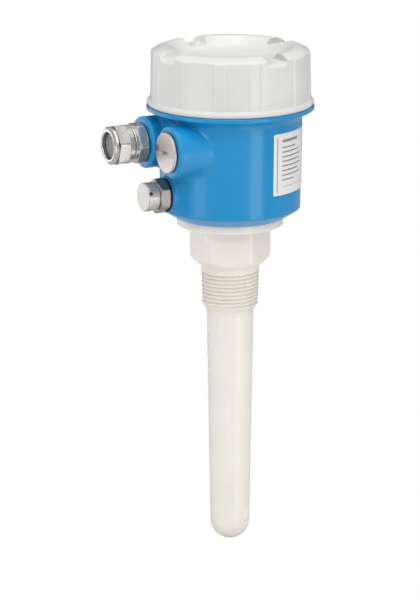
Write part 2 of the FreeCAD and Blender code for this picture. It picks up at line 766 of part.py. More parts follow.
# Lid
def lid():
    """The screw lid: beaded skirt, grip ribs in four groups of three, crowned rim, dish and four notches."""
    neck_room = total(WIDE["lid_neck"], of("moving_gap"))
    seal_room = total(WIDE["lid_neck"], of("moving_gap"), of("moving_gap"),
                      times("2", of("lid_seal_section")))
    seal_top = total(AT["lid_low"], times("2", of("lid_seal_section")), of("lid_seal_headroom"))
    # The bead's arc swells by a quarter of its chord, so its radius is five eighths of the chord
    bead_foot = less(WIDE["bead"], f"({of('bead_height')} / 4)")
    bead_round = f"({of('bead_height')} * 5 / 8)"
    core = turned("lid_core", [
        (seal_room, AT["lid_low"]),
        (bead_foot, AT["lid_low"]),
        (bead_foot, AT["bead_top"], bead_round, -1),
        (WIDE["lid_low"], AT["bead_top"]),
        (WIDE["lid_top"], AT["lid_side_top"]),
        (WIDE["crest"], AT["crest"], of("crown_radius"), -1),
        (WIDE["dish_edge"], AT["crest"]),
        (WIDE["dish"], AT["dish"]),
        ("0", AT["dish"]),
        ("0", AT["lid_ceiling"]),
        (neck_room, AT["lid_ceiling"]),
        (neck_room, seal_top),
        (seal_room, seal_top),
    ])
    inner = less(WIDE["lid_top"], of("rib_proud"))
    rib_zone = turned("rib_zone", [
        (inner, AT["bead_top"]),
        (total(WIDE["lid_low"], of("rib_proud")), AT["bead_top"]),
        (total(WIDE["lid_top"], of("rib_proud")), less(AT["lid_side_top"], of("rib_proud"))),
        (WIDE["lid_top"], AT["lid_side_top"]),
        (inner, AT["lid_side_top"]),
    ])
    half = f"({of('rib_width')} / 2)"
    reach = total(WIDE["lid_low"], times("2", of("rib_proud")))
    bars = []
    # Each bar crosses the whole lid, so it gives two opposite ribs
    for quarter_middle in ("45", "135"):
        for step in ("-1", "0", "1"):
            angle = total(of("lid_clock_angle"), quarter_middle, times(step, of("rib_step_angle")))
            rib_bar = block(f"rib_bar_{len(bars)}", ("0", "0", AT["bead_top"]),
                            (times("2", reach), of("rib_width"), AT["lid_side_top"]))
            turn_to(rib_bar, angle)
            along_x, along_y = spot(angle, reach)
            side_x, side_y = f"({half} * sin({angle}))", f"({half} * cos({angle}))"
            bind(rib_bar, Placement__Base__x=less(side_x, along_x))
            bind(rib_bar, Placement__Base__y=f"(-{side_y} - {along_y})")
            bars.append(bind(rib_bar, Placement__Base__z=AT["bead_top"]))
    ribs = overlap("ribs", [rib_zone, fuse("rib_bars", bars)])
    # Each slot crosses the whole lid above the dish, so it gives two opposite notches
    side = f"({of('notch_width')} / 2)"
    corner = of("notch_corner")
    inside = less(side, corner)
    above = total(AT["crest"], PAST)
    slot_outline = [
        (f"(-{side})", above),
        (f"(-{side})", total(AT["notch"], corner)),
        (f"(-{inside})", AT["notch"], corner, -1),
        (inside, AT["notch"]),
        (side, total(AT["notch"], corner), corner, -1),
        (side, above),
    ]
    length = times("2", total(WIDE["bead"], PAST))
    slots = [
        turn_to(extruded("notch_across", slot_outline, length), of("lid_clock_angle")),
        turn_to(extruded("notch_along", slot_outline, length), total(of("lid_clock_angle"), "90")),
    ]
    return cut("lid", fuse("lid_ribbed", [core, ribs]), fuse("notches", slots))


def lid_seal():
    """The O-ring that lies round the lid neck, on the flange."""
    middle = total(WIDE["lid_neck"], of("moving_gap"), of("lid_seal_section"))
    height = total(AT["flange_top"], of("lid_seal_section"), of("lid_gap"))
    return round_section_ring("lid_seal", middle, of("lid_seal_section"), height)


# Cable gland
def gland_gasket():
    """The flat ring between boss and gland."""
    return point_out(ring("gland_gasket", of("entry_bore_radius"), WIDE["gland_gasket"],
                          ENTRY_FACE, GLAND_SEAT), "gland")


def gland_body():
    """The gland's body: thread for the boss, hexagon, neck for the cap nut and a seat for the seal."""
    thread_low = less(GLAND_SEAT, of("gland_thread_length"))
    shank = turned("gland_shank", [
        ("0", thread_low),
        (less(of("entry_bore_radius"), of("fixed_gap")), thread_low),
        (less(of("entry_bore_radius"), of("fixed_gap")), GLAND_SEAT),
        (WIDE["gland_neck"], GLAND_SEAT),
        (WIDE["gland_neck"], GLAND_NECK_END),
        ("0", GLAND_NECK_END),
    ])
    nut = chamfered_hexagon("gland_hex", WIDE["gland_hex"], GLAND_SEAT, GLAND_HEX_END,
                            of("gland_hex_clock_angle"), of("gland_hex_edge"))
    seat_low = less(GLAND_NECK_END, of("gland_seat_depth"))
    tunnel = turned("gland_tunnel", [
        ("0", less(thread_low, PAST)),
        (of("gland_wire_bore_radius"), less(thread_low, PAST)),
        (of("gland_wire_bore_radius"), seat_low),
        (of("gland_seat_radius"), seat_low),
        (of("gland_seat_radius"), total(GLAND_NECK_END, PAST)),
        ("0", total(GLAND_NECK_END, PAST)),
    ])
    return point_out(cut("gland_body", fuse("gland_blank", [shank, nut]), tunnel), "gland")


SEAL_LOW = total(less(GLAND_NECK_END, of("gland_seat_depth")), of("fixed_gap"))


def gland_seal():
    """The elastomer sleeve that grips the cable: stem in the seat, collar, and a nose in the slip ring."""
    stem = less(of("gland_seat_radius"), of("fixed_gap"))
    collar_low = total(GLAND_NECK_END, of("fixed_gap"))
    nose_end = total(SEAL_FACE, of("seal_nose_height"))
    return point_out(turned("gland_seal", [
        (of("seal_bore_radius"), SEAL_LOW),
        (stem, SEAL_LOW),
        (stem, collar_low),
        (WIDE["seal_collar"], collar_low),
        (WIDE["seal_collar"], SEAL_FACE),
        (WIDE["seal_nose"], SEAL_FACE),
        (WIDE["seal_nose"], nose_end),
        (of("seal_bore_radius"), nose_end),
    ]), "gland")


def gland_thrust_ring():
    """The slip ring between the seal's collar and the cap nut's lip."""
    low = less(NUT_LIP, of("thrust_ring_height"))
    return point_out(ring("gland_thrust_ring", total(WIDE["seal_nose"], of("moving_gap")),
                          total(WIDE["gland_neck"], of("fixed_gap")), low, NUT_LIP), "gland")


def gland_cap_nut():
    """The cap nut: hexagon, rounded nose and the mouth that the cable goes through."""
    nose_low = less(NUT_FRONT, of("cap_nut_nose_length"))
    outside = total(corner_radius(WIDE["cap_nut"]), of("fixed_gap"))
    swell = less(WIDE["cap_nut_nose"], f"({of('cap_nut_nose_length')} / 2)")
    back_edge = of("gland_hex_edge")
    turning = turned("cap_nut_turning", [
        ("0", NUT_BACK),
        (WIDE["cap_nut"], NUT_BACK),
        (outside, total(NUT_BACK, back_edge)),
        (outside, less(nose_low, back_edge)),
        (WIDE["cap_nut_nose"], total(nose_low, back_edge)),
        (swell, NUT_FRONT, of("cap_nut_nose_round"), -1),
        ("0", NUT_FRONT),
    ])
    hex_bar = hexagon("cap_nut_bar", WIDE["cap_nut"], NUT_BACK, nose_low, of("cap_nut_clock_angle"))
    nose = rod("cap_nut_nose", WIDE["cap_nut_nose"], nose_low, NUT_FRONT)
    blank = overlap("cap_nut_blank", [fuse("cap_nut_bar_and_nose", [hex_bar, nose]), turning])
    thread = total(WIDE["gland_neck"], of("moving_gap"))
    tunnel = turned("cap_nut_tunnel", [
        ("0", less(NUT_BACK, PAST)),
        (thread, less(NUT_BACK, PAST)),
        (thread, NUT_LIP),
        (WIDE["cap_nut_mouth"], NUT_LIP),
        (WIDE["cap_nut_mouth"], total(NUT_FRONT, PAST)),
        ("0", total(NUT_FRONT, PAST)),
    ])
    return point_out(cut("gland_cap_nut", blank, tunnel), "gland")


# Blanking plug
def blanking_plug():
    """The slotted plug that closes the second entry."""
    low = less(PLUG_SEAT, of("plug_thread_length"))
    shank = less(of("entry_bore_radius"), of("moving_gap"))
    edge = of("plug_head_edge")
    blank = turned("plug_blank", [
        ("0", low),
        (shank, low),
        (shank, PLUG_SEAT),
        (WIDE["plug_head"], PLUG_SEAT),
        (WIDE["plug_head"], less(PLUG_FRONT, edge)),
        (less(WIDE["plug_head"], edge), PLUG_FRONT, edge, -1),
        ("0", PLUG_FRONT),
    ])
    half = f"({of('plug_slot_width')} / 2)"
    reach = WIDE["plug_head"]
    slot = block("plug_slot", (f"(-{half})", f"(-{reach})", less(PLUG_FRONT, of("plug_slot_depth"))),
                 (half, reach, total(PLUG_FRONT, PAST)))
    return point_out(cut("blanking_plug", blank, slot), "plug")


def blanking_plug_seal():
    """The dark ring under the plug's head."""
    return point_out(ring("blanking_plug_seal", of("entry_bore_radius"), WIDE["plug_seal"],
                          ENTRY_FACE, PLUG_SEAT), "plug")


# Vent plug
def vent_gasket():
    """The black ring between the pad and the vent plug."""
    return point_out(ring("vent_gasket", of("vent_bore_radius"), WIDE["vent_gasket"],
                          VENT_FACE, VENT_SEAT), "vent")


def vent_body():
    """The vent's hexagon with its thread and air bore."""
    low = less(VENT_SEAT, of("vent_thread_length"))
    thread = less(of("vent_bore_radius"), of("fixed_gap"))
    shank = ring("vent_shank", of("vent_air_bore_radius"), thread, low, VENT_HEX_END)
    nut = chamfered_hexagon("vent_hex", WIDE["vent_hex"], VENT_SEAT, VENT_HEX_END,
                            of("vent_hex_clock_angle"), of("vent_hex_edge"))
    bore = rod("vent_air_bore", of("vent_air_bore_radius"), less(VENT_SEAT, PAST), total(VENT_HEX_END, PAST))
    return point_out(fuse("vent_body", [shank, cut("vent_hex_bored", nut, bore)]), "vent")


def vent_cap():
    """The vent's round head: a cup over the membrane, with four small side holes."""
    edge = of("vent_head_edge")
    inner = less(WIDE["vent_head"], of("vent_head_wall"))
    ceiling = less(VENT_FRONT, of("vent_head_plate"))
    cup = turned("vent_cup", [
        (inner, VENT_HEX_END),
        (WIDE["vent_head"], VENT_HEX_END),
        (WIDE["vent_head"], less(VENT_FRONT, edge)),
        (less(WIDE["vent_head"], edge), VENT_FRONT, edge, -1),
        ("0", VENT_FRONT),
        ("0", ceiling),
        (inner, ceiling),
    ])
    reach = total(WIDE["vent_head"], PAST)
    height = total(VENT_HEX_END, of("vent_hole_height"))
    drill_a = point_in(rod("vent_drill_up", of("vent_hole_radius"), f"(-{reach})", reach), height)
    drill_b = rod("vent_drill_side", of("vent_hole_radius"), f"(-{reach})", reach)
    drill_b.Placement = FreeCAD.Placement(Vector(), FreeCAD.Rotation(Vector(1, 0, 0), 90))
    bind(drill_a, Placement__Base__x=f"(-{reach})")
    bind(drill_b, Placement__Base__y=reach, Placement__Base__z=height)
    drills = turn_to(fuse("vent_drills", [drill_a, drill_b]), of("vent_hole_clock_angle"))
    return point_out(cut("vent_cap", cup, drills), "vent")


def vent_membrane():
    """The disc over the air bore, inside the cap."""
    radius = less(WIDE["vent_head"], of("vent_head_wall"), of("fixed_gap"))
    top = total(VENT_HEX_END, of("membrane_height"))
    return point_out(bar("vent_membrane", radius, VENT_HEX_END, top), "vent")


# Electronics
def electronics_insert():
    """The potted block: a disc with a raised rim, on the three posts."""
    lip = less(WIDE["insert"], of("insert_rim"))
    disc = turned("insert_disc", [
        ("0", AT["insert_low"]),
        (WIDE["insert"], AT["insert_low"]),
        (WIDE["insert"], AT["insert_top"]),
        (lip, AT["insert_top"]),
        (lip, AT["deck"]),
        ("0", AT["deck"]),
    ])
    hole = total(of("insert_screw_radius"), of("fixed_gap"))
    below = less(AT["insert_low"], PAST)
    above = total(AT["insert_top"], PAST)
    holes = [
        upright(f"insert_hole_{step}", angle, hole, below, above)
        for step, angle in enumerate(POST_ANGLES)
    ]
    return cut("electronics_insert", disc, fuse("insert_holes", holes))


def insert_screws():
    """Three pan-head screws, from the insert's deck into the posts."""
    screws = []
    for step, angle in enumerate(POST_ANGLES):
        low = less(AT["insert_low"], of("insert_screw_bite"))
        shank = upright(f"insert_screw_shank_{step}", angle, of("insert_screw_radius"), low, AT["deck"])
        head = upright(f"insert_screw_head_{step}", angle, of("insert_screw_head_radius"), AT["deck"],
                       total(AT["deck"], of("insert_screw_head_height")))
        screws.append(fuse(f"insert_screw_{step}", [shank, head]))
    return group("insert_screws", screws)


POLES = range(-2, 3)
TERMINAL_BACK = total(of("terminal_offset"), of("terminal_depth"))
TERMINAL_TOP = total(AT["deck"], of("terminal_height"))
TERMINAL_SCREW_X = total(of("terminal_offset"), of("terminal_screw_inset"))


def pole_side(pole):
    """Where one pole of the terminal block lies along Y."""
    return times(str(pole), of("terminal_pitch"))


def standing(name, radius, across, along, low, high):
    """A cylinder about a vertical line."""
    return bind(rod(name, radius, low, high), Placement__Base__x=across, Placement__Base__y=along)


def terminal_block():
    """The five-pole block: wire holes face the entries, screw wells face up."""
    half = total(f"({len(POLES)} * {of('terminal_pitch')} / 2)", of("terminal_end_wall"))
    blank = block("terminal_blank", (of("terminal_offset"), f"(-{half})", AT["deck"]),
                  (TERMINAL_BACK, half, TERMINAL_TOP))
    hollows = []
    for index, pole in enumerate(POLES):
        wire = rod(f"wire_hole_{index}", of("wire_hole_radius"), "0", total(of("wire_hole_depth"), PAST))
        point_in(wire, total(AT["deck"], of("wire_hole_rise")))
        bind(wire, Placement__Base__x=less(of("terminal_offset"), PAST), Placement__Base__y=pole_side(pole))
        hollows.append(wire)
        well_radius = total(of("terminal_screw_radius"), of("fixed_gap"))
        hollows.append(standing(f"screw_well_{index}", well_radius, TERMINAL_SCREW_X, pole_side(pole),
                                less(TERMINAL_TOP, of("terminal_well_depth")), total(TERMINAL_TOP, PAST)))
    return cut("terminal_block", blank, fuse("terminal_hollows", hollows))


def terminal_screws():
    """The five clamping screws, each with a driver slot."""
    low = less(TERMINAL_TOP, of("terminal_well_depth"))
    high = total(low, of("terminal_screw_length"))
    half = f"({of('driver_slot_width')} / 2)"
    screws = []
    for index, pole in enumerate(POLES):
        side = pole_side(pole)
        shank = standing(f"terminal_screw_shank_{index}", of("terminal_screw_radius"), TERMINAL_SCREW_X, side,
                         low, high)
        left, right = less(side, of("terminal_pitch")), total(side, of("terminal_pitch"))
        slot = block(f"terminal_screw_slot_{index}",
                     (less(TERMINAL_SCREW_X, half), left, less(high, of("driver_slot_depth"))),
                     (total(TERMINAL_SCREW_X, half), right, total(high, PAST)))
        screws.append(cut(f"terminal_screw_{index}", shank, slot))
    return group("terminal_screws", screws)


def switch_case(name, side):
    """A slide switch's case, with the slot that its slider runs in."""
    centre_x = f"(-{of('switch_back')})"
    centre_y = times(side, of("switch_side"))
    half_x = f"({of('switch_width')} / 2)"
    half_y = f"({of('switch_length')} / 2)"
    top = total(AT["deck"], of("switch_height"))
    case = block(name + "_case", (less(centre_x, half_x), less(centre_y, half_y), AT["deck"]),
                 (total(centre_x, half_x), total(centre_y, half_y), top))
    slot_x = total(f"({of('slider_width')} / 2)", of("moving_gap"))
    slot_y = f"(({of('slider_length')} + {of('slider_travel')}) / 2 + {of('slider_end_gap')})"
    slot_low = less(top, of("slider_slot_depth"))
    slot = block(name + "_slot", (less(centre_x, slot_x), less(centre_y, slot_y), slot_low),
                 (total(centre_x, slot_x), total(centre_y, slot_y), total(top, PAST)))
    return cut(name, case, slot)


def switch_slider(name, side):
    """The slider, at the -Y end of its travel."""
    centre_x = f"(-{of('switch_back')})"
    start = less(times(side, of("switch_side")), f"(({of('slider_length')} + {of('slider_travel')}) / 2)")
    half_x = f"({of('slider_width')} / 2)"
    end = total(start, of("slider_length"))
    low = total(AT["deck"], less(of("switch_height"), of("slider_slot_depth")), of("moving_gap"))
    high = total(low, of("slider_height"))
    return block(name, (less(centre_x, half_x), start, low), (total(centre_x, half_x), end, high))


def lamp(name, side):
    """An indicator lamp: a round-topped clear body on the deck."""
    radius = of("lamp_radius")
    shoulder = less(total(AT["deck"], of("lamp_height")), radius)
    bulb = turned(name, [
        ("0", AT["deck"]),
        (radius, AT["deck"]),
        (radius, shoulder),
        ("0", total(shoulder, radius), radius, -1),
    ])
    across = f"(-{of('lamp_back')})"
    return bind(bulb, Placement__Base__x=across, Placement__Base__y=times(side, of("lamp_side")))


# Inner earth terminal
EARTH_FACE = less(of("cavity_radius"), of("earth_boss_length"))
EARTH_SCREW_END = less(total(EARTH_FACE, of("earth_screw_bite")), of("fixed_gap"))


def earth_clamp():
    """The square clamp plate under the earth screw's head."""
    half = f"({of('earth_plate_side')} / 2)"
    low = less(EARTH_FACE, of("earth_plate_thickness"))
    plate = block("earth_plate", (f"(-{half})", f"(-{half})", low), (half, half, EARTH_FACE))
    hole_radius = total(of("earth_screw_radius"), of("fixed_gap"))
    hole = rod("earth_plate_hole", hole_radius, less(low, PAST), total(EARTH_FACE, PAST))
    return point_in(cut("earth_clamp", plate, hole), AT["earth"])


def earth_screw():
    """The earth screw, from the clamp plate into the boss on the wall."""
    seat = less(EARTH_FACE, of("earth_plate_thickness"))
    return point_in(turned("earth_screw", [
        ("0", less(seat, of("earth_head_height"))),
        (of("earth_head_radius"), less(seat, of("earth_head_height"))),
        (of("earth_head_radius"), seat),
        (of("earth_screw_radius"), seat),
        (of("earth_screw_radius"), EARTH_SCREW_END),
        ("0", EARTH_SCREW_END),
    ]), AT["earth"])


def build():
    """Make every sub-part and give each its label."""
    parts = {
        "housing": housing(),
        "lid": lid(),
        "lid_seal": lid_seal(),
        "nameplate": nameplate(),
        "gland_gasket": gland_gasket(),
        "gland_body": gland_body(),
        "gland_seal": gland_seal(),
        "gland_thrust_ring": gland_thrust_ring(),
        "gland_cap_nut": gland_cap_nut(),
        "blanking_plug": blanking_plug(),
        "blanking_plug_seal": blanking_plug_seal(),
        "vent_gasket": vent_gasket(),
        "vent_body": vent_body(),
        "vent_cap": vent_cap(),
        "vent_membrane": vent_membrane(),
        "probe_sheath": probe_sheath(),
        "probe_electrode": probe_electrode(),
        "electrode_insulator": electrode_insulator(),
        "guard_electrode": guard_electrode(),
        "probe_contact_pin": probe_contact_pin(),
        "probe_o_ring": probe_o_ring(),
        "probe_lock_nut": probe_lock_nut(),
        "electronics_insert": electronics_insert(),
        "insert_screws": insert_screws(),
        "terminal_block": terminal_block(),
        "terminal_screws": terminal_screws(),
        "failsafe_switch": switch_case("failsafe_switch", "1"),
        "failsafe_slider": switch_slider("failsafe_slider", "1"),
        "sensitivity_switch": switch_case("sensitivity_switch", "-1"),
        "sensitivity_slider": switch_slider("sensitivity_slider", "-1"),
        "ready_lamp": lamp("ready_lamp", "1"),
        "state_lamp": lamp("state_lamp", "-1"),
        "earth_clamp": earth_clamp(),
        "earth_screw": earth_screw(),
    }
    for label, part in parts.items():
        part.Label = label
    DOC.recompute()
    return parts


def check(parts):
    """Stop if any object failed or any sub-part has no valid shape."""
    for thing in DOC.Objects:
        if "Invalid" in thing.State or "Error" in thing.State:
            raise RuntimeError(f"{thing.Name} failed: {thing.State}")
    for label, part in parts.items():
        if part.Shape.isNull() or not part.Shape.isValid():
            raise RuntimeError(f"{label} has no valid shape")


def export(parts):
    """Write one STEP file for each sub-part."""
    os.makedirs("parts", exist_ok=True)
    for label, part in parts.items():
        part.Shape.exportStep(f"parts/{label}.step")
        print(f"{label}: {len(part.Shape.Solids)} solid(s), {part.Shape.Volume:.1f} mm3")


PARTS = build()
check(PARTS)
export(PARTS)
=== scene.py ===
# %% [markdown]
# # A capacitive level switch, dressed on its CAD frame
#
# The switch stands in the wall of a tank: the pale plastic rod reaches inside, the blue head stays
# outside. The CAD model already has every piece at its true size. This lesson gives the visible
# pieces the small rounds, threads and finishes that make a cast, turned or moulded thing look real.
# Every new piece is a surface worked out with numpy in millimetres, in the frame of the CAD model.

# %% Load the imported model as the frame
import json
from functools import partial

import bmesh
import bpy
import numpy as np
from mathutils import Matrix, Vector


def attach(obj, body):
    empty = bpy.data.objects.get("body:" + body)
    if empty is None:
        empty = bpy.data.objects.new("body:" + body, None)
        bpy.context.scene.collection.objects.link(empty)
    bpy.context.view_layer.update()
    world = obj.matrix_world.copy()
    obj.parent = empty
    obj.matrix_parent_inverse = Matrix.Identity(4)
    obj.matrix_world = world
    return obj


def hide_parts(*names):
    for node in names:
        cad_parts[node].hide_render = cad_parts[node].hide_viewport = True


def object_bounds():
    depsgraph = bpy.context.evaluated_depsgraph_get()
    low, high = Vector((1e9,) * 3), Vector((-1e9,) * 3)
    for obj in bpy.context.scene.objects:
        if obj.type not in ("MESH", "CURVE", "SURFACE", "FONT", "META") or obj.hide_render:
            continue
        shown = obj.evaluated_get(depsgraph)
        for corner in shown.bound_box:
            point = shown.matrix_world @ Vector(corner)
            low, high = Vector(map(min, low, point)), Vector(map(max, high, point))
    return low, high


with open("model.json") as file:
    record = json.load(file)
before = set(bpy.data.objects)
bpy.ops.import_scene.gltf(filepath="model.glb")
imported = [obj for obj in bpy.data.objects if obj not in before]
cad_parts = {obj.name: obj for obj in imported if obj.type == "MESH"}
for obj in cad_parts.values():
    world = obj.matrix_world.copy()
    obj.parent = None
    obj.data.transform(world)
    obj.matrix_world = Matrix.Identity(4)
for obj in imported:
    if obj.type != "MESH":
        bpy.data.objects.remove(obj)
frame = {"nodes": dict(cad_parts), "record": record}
CAD_BOX = [list(corner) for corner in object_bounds()]
MM = 0.001
TURN = 2.0 * np.pi
print("nodes in the frame:", len(frame["nodes"]))
print("CAD box in mm:", np.round(np.array(CAD_BOX) / MM, 1).tolist())

# %% [markdown]
# ## Outlines
#
# Turned and cast pieces start as an outline of radius against height. A real edge is never sharp, so
# each corner may ask for a round. The round could be left to a Bevel modifier, but in the outline it
# costs a handful of points and stays exactly as large as it is written.


# %% Outlines with rounded corners
def swing(middle, first, last, sweep, steps):
    """Turn evenly from one spoke to another: the weights are the sines of the angles still to go."""
    share = np.linspace(0.0, 1.0, steps)[:, None]
    spokes = np.sin((1.0 - share) * sweep) * first + np.sin(share * sweep) * last
    return middle + spokes / np.sin(sweep)


def bulge(start, end, radius, steps=12):
    """An arc from start to end that bulges to the right: its centre is left of the chord's middle."""
    start, end = np.array(start, float), np.array(end, float)
    chord = end - start
    half = 0.5 * np.linalg.norm(chord)
    left = np.array([-chord[1], chord[0]]) / (2.0 * half)
    middle = 0.5 * (start + end) + left * np.sqrt(radius**2 - half**2)
    return swing(middle, start - middle, end - middle, 2.0 * np.arcsin(half / radius), steps)


def rounded(corners, loop=False, steps=6):
    """Swap each (radius, height, round) corner for an arc that touches both of its runs."""
    spots = np.array([corner[:2] for corner in corners], float)
    pieces = []
    for index, corner in enumerate(corners):
        here = spots[index]
        size = corner[2] if len(corner) > 2 else 0.0
        at_end = not loop and index in (0, len(corners) - 1)
        if size == 0.0 or at_end:
            pieces.append(here[None])
            continue
        back = spots[index - 1] - here
        ahead = spots[(index + 1) % len(spots)] - here
        back = back / np.linalg.norm(back)
        ahead = ahead / np.linalg.norm(ahead)
        half = 0.5 * np.arccos(np.clip(back @ ahead, -1.0, 1.0))
        bisector = (back + ahead) / np.linalg.norm(back + ahead)
        middle = here + bisector * size / np.sin(half)
        touch = size / np.tan(half)
        pieces.append(swing(middle, here + back * touch - middle, here + ahead * touch - middle,
                            np.pi - 2.0 * half, steps))
    return np.concatenate(pieces)


def filled(path, spacing, loop=False):
    """Add points on the runs of an outline, so that no step is longer than the spacing."""
    starts = path if loop else path[:-1]
    ends = np.roll(path, -1, axis=0) if loop else path[1:]
    steps = np.maximum(1, np.ceil(np.linalg.norm(ends - starts, axis=1) / spacing)).astype(int)
    run = np.repeat(np.arange(len(starts)), steps)
    share = (np.arange(steps.sum()) - np.repeat(np.cumsum(steps) - steps, steps)) / steps[run]
    points = starts[run] + (ends - starts)[run] * share[:, None]
    return points if loop else np.concatenate([points, path[-1:]])


SAMPLE_SQUARE = [(1, 0, 2), (11, 0, 2), (11, 10, 2), (1, 10, 2)]
print("a 10 mm square with 2 mm rounds has", len(rounded(SAMPLE_SQUARE, loop=True)), "points")

# %% [markdown]
# ## From a grid of points to a mesh
#
# A shape here is a grid: rows run along the outline, columns run round the axis. The faces follow
# from the grid's numbering alone, so they are made as whole arrays. Outlines run up the outside and
# down the inside, which makes every face point outwards. A row that lies on the axis is one point.


# %% Grids, places and meshes
def grid_faces(rows, columns, ring=False, low_pole=False, high_pole=False):
    """Number the corners of every cell: here, next column, next row and column, next row."""
    number = np.arange(rows * columns).reshape(rows, columns)
    if low_pole:
        number[0] = number[0, 0]
    if high_pole:
        number[-1] = number[-1, 0]
    low = number if ring else number[:-1]
    high = np.roll(number, -1, axis=0) if ring else number[1:]
    corners = [low, np.roll(low, -1, axis=1), np.roll(high, -1, axis=1), high]
    cells = np.stack(corners, axis=-1).reshape(-1, 4)
    at_low = cells[:, 0] == cells[:, 1]
    at_high = cells[:, 2] == cells[:, 3]
    triangles = np.concatenate([cells[at_low][:, [0, 2, 3]], cells[at_high][:, [0, 1, 2]]])
    return cells[~(at_low | at_high)], triangles


def point_grid(east, north, height):
    """Three arrays of coordinates, stretched to one shape, as an array of points."""
    return np.stack(np.broadcast_arrays(east, north, height), axis=-1)


def upright(radius, height, angle, east=0.0, north=0.0):
    """Points about an upright axis: angle nought is east, and height is up."""
    return point_grid(radius * np.cos(angle) + east, radius * np.sin(angle) + north, height)


def sideways(radius, reach, angle, side, level):
    """Points about an axis that points to -X: angle nought is up, a quarter turn is +Y."""
    return point_grid(-reach, side + radius * np.sin(angle), level + radius * np.cos(angle))


def about(axis):
    """The placing function for a piece turned about an entry's axis, given as (side, level)."""
    side, level = axis
    return partial(sideways, side=side, level=level)


def mesh_from(name, points, quads, triangles):
    """Write points in millimetres and numbered faces into a mesh, without points that no face uses."""
    used, numbers = np.unique(np.concatenate([quads.ravel(), triangles.ravel()]), return_inverse=True)
    mesh = bpy.data.meshes.new(name)
    mesh.vertices.add(len(used))
    mesh.vertices.foreach_set("co", (points.reshape(-1, 3)[used] * MM).astype(np.float32).ravel())
    mesh.loops.add(len(numbers))
    mesh.loops.foreach_set("vertex_index", numbers.ravel().astype(np.int32))
    starts = np.concatenate([4 * np.arange(len(quads)), 4 * len(quads) + 3 * np.arange(len(triangles))])
    mesh.polygons.add(len(starts))
    mesh.polygons.foreach_set("loop_start", starts.astype(np.int32))
    mesh.update(calc_edges=True)
    return mesh


def poles(outline, ring):
    """Which ends of an open outline lie on the axis."""
    return {"low_pole": not ring and outline[0, 0] == 0.0, "high_pole": not ring and outline[-1, 0] == 0.0}


def spun(name, outline, columns, place, ring=False):
    """Carry an outline once round its axis; place turns (radius, height, angle) into points."""
    angle = TURN * np.arange(columns) / columns
    points = place(outline[:, :1], outline[:, 1:2], angle[None])
    return mesh_from(name, points, *grid_faces(len(outline), columns, ring, **poles(outline, ring)))


def merged(target, others, operation):
    """Join meshes to a mesh, or take them away from it, with the Boolean for closed meshes."""
    holder = bpy.data.objects.new("boolean_target", target)
    bpy.context.scene.collection.objects.link(holder)
    tools = []
    for other in others:
        tool = bpy.data.objects.new("boolean_tool", other)
        bpy.context.scene.collection.objects.link(tool)
        tools.append(tool)
        step = holder.modifiers.new("step", "BOOLEAN")
        step.operation = operation
        step.object = tool
        step.solver = "MANIFOLD"
    graph = bpy.context.evaluated_depsgraph_get()
    result = bpy.data.meshes.new_from_object(holder.evaluated_get(graph))
    for thing in [holder] + tools:
        bpy.data.objects.remove(thing)
    return result


sample_counts = [len(faces) for faces in grid_faces(3, 4, low_pole=True)]
print("quads and triangles in a grid of 3 rows and 4 columns with a pole:", sample_counts)

# %% [markdown]
# ## Soft hexagons and threads
#
# A hexagon on a turned piece is the lesser of two radii: the flats' distance along each direction and
# the turned outline. Taking a soft lesser leaves the small round that plating and tumbling leave on
# the real nut. A thread is the outline's radius less a groove whose phase climbs once round per pitch.


# %% Hexagons and threads
EDGE_HARDNESS = 90.0


def soft_least(first, second, hardness=EDGE_HARDNESS):
    """The lesser of two radii with a soft change: the root of the summed inverse powers."""
    return (first**-hardness + second**-hardness) ** (-1.0 / hardness)


def hexagon(apothem, clock, angle, hardness=EDGE_HARDNESS):
    """Distance to a hexagon's edge, from the summed powers of its flats' nearness.

    One of its corners is at the clock, in degrees.
    """
    flats = np.radians(clock + 30.0 + 60.0 * np.arange(6))
    nearness = np.maximum(np.cos(angle[..., None] - flats), 0.0) / apothem
    return (nearness**hardness).sum(axis=-1) ** (-1.0 / hardness)


def groove(height, angle, pitch, sharp=0.97):
    """From 0 at a crest to 1 at a root: a triangle wave with rounded turns, which climbs with the angle."""
    wave = np.cos(TURN * (height / pitch) - angle)
    return 0.5 - 0.5 * np.arcsin(sharp * wave) / np.arcsin(sharp)


def ramp(value, start, end):
    """A smooth step from 0 at start to 1 at end."""
    share = np.clip((value - start) / (end - start), 0.0, 1.0)
    return share * share * (3.0 - 2.0 * share)


sample_corner = float(hexagon(20.5, 0.0, np.zeros(1))[0])
print("corner of a soft 41 mm hexagon:", round(sample_corner, 2), "mm from its axis")

# %% [markdown]
# ## Finishes
#
# The outside has five kinds of finish: a blue powder coat, a pale coat on the lid, ivory plastic,
# nickel plate and rubber, black or grey. All of them vary a little from place to place. Three node
# groups give that variation: clouds of tone with a fine grain, wear along proud edges, and the fine
# rings that a lathe leaves. Each material sets them to its own scale.


# %% Node groups that several finishes share
def new_group(name, inputs, outputs):
    """A shader node group with named float or vector inputs and float outputs."""
    group = bpy.data.node_groups.new(name, "ShaderNodeTree")
    for label, kind, value in inputs:
        socket = group.interface.new_socket(label, in_out="INPUT", socket_type=kind)
        if value is not None:
            socket.default_value = value
    for label in outputs:
        group.interface.new_socket(label, in_out="OUTPUT", socket_type="NodeSocketFloat")
    source = group.nodes.new("NodeGroupInput")
    sink = group.nodes.new("NodeGroupOutput")
    return group, source, sink


def add_node(tree, kind, settings=(), values=()):
    """A node with its settings and its unlinked socket values."""
    node = tree.nodes.new(kind)
    for key, value in dict(settings).items():
        setattr(node, key, value)
    for key, value in dict(values).items():
        node.inputs[key].default_value = value
    return node


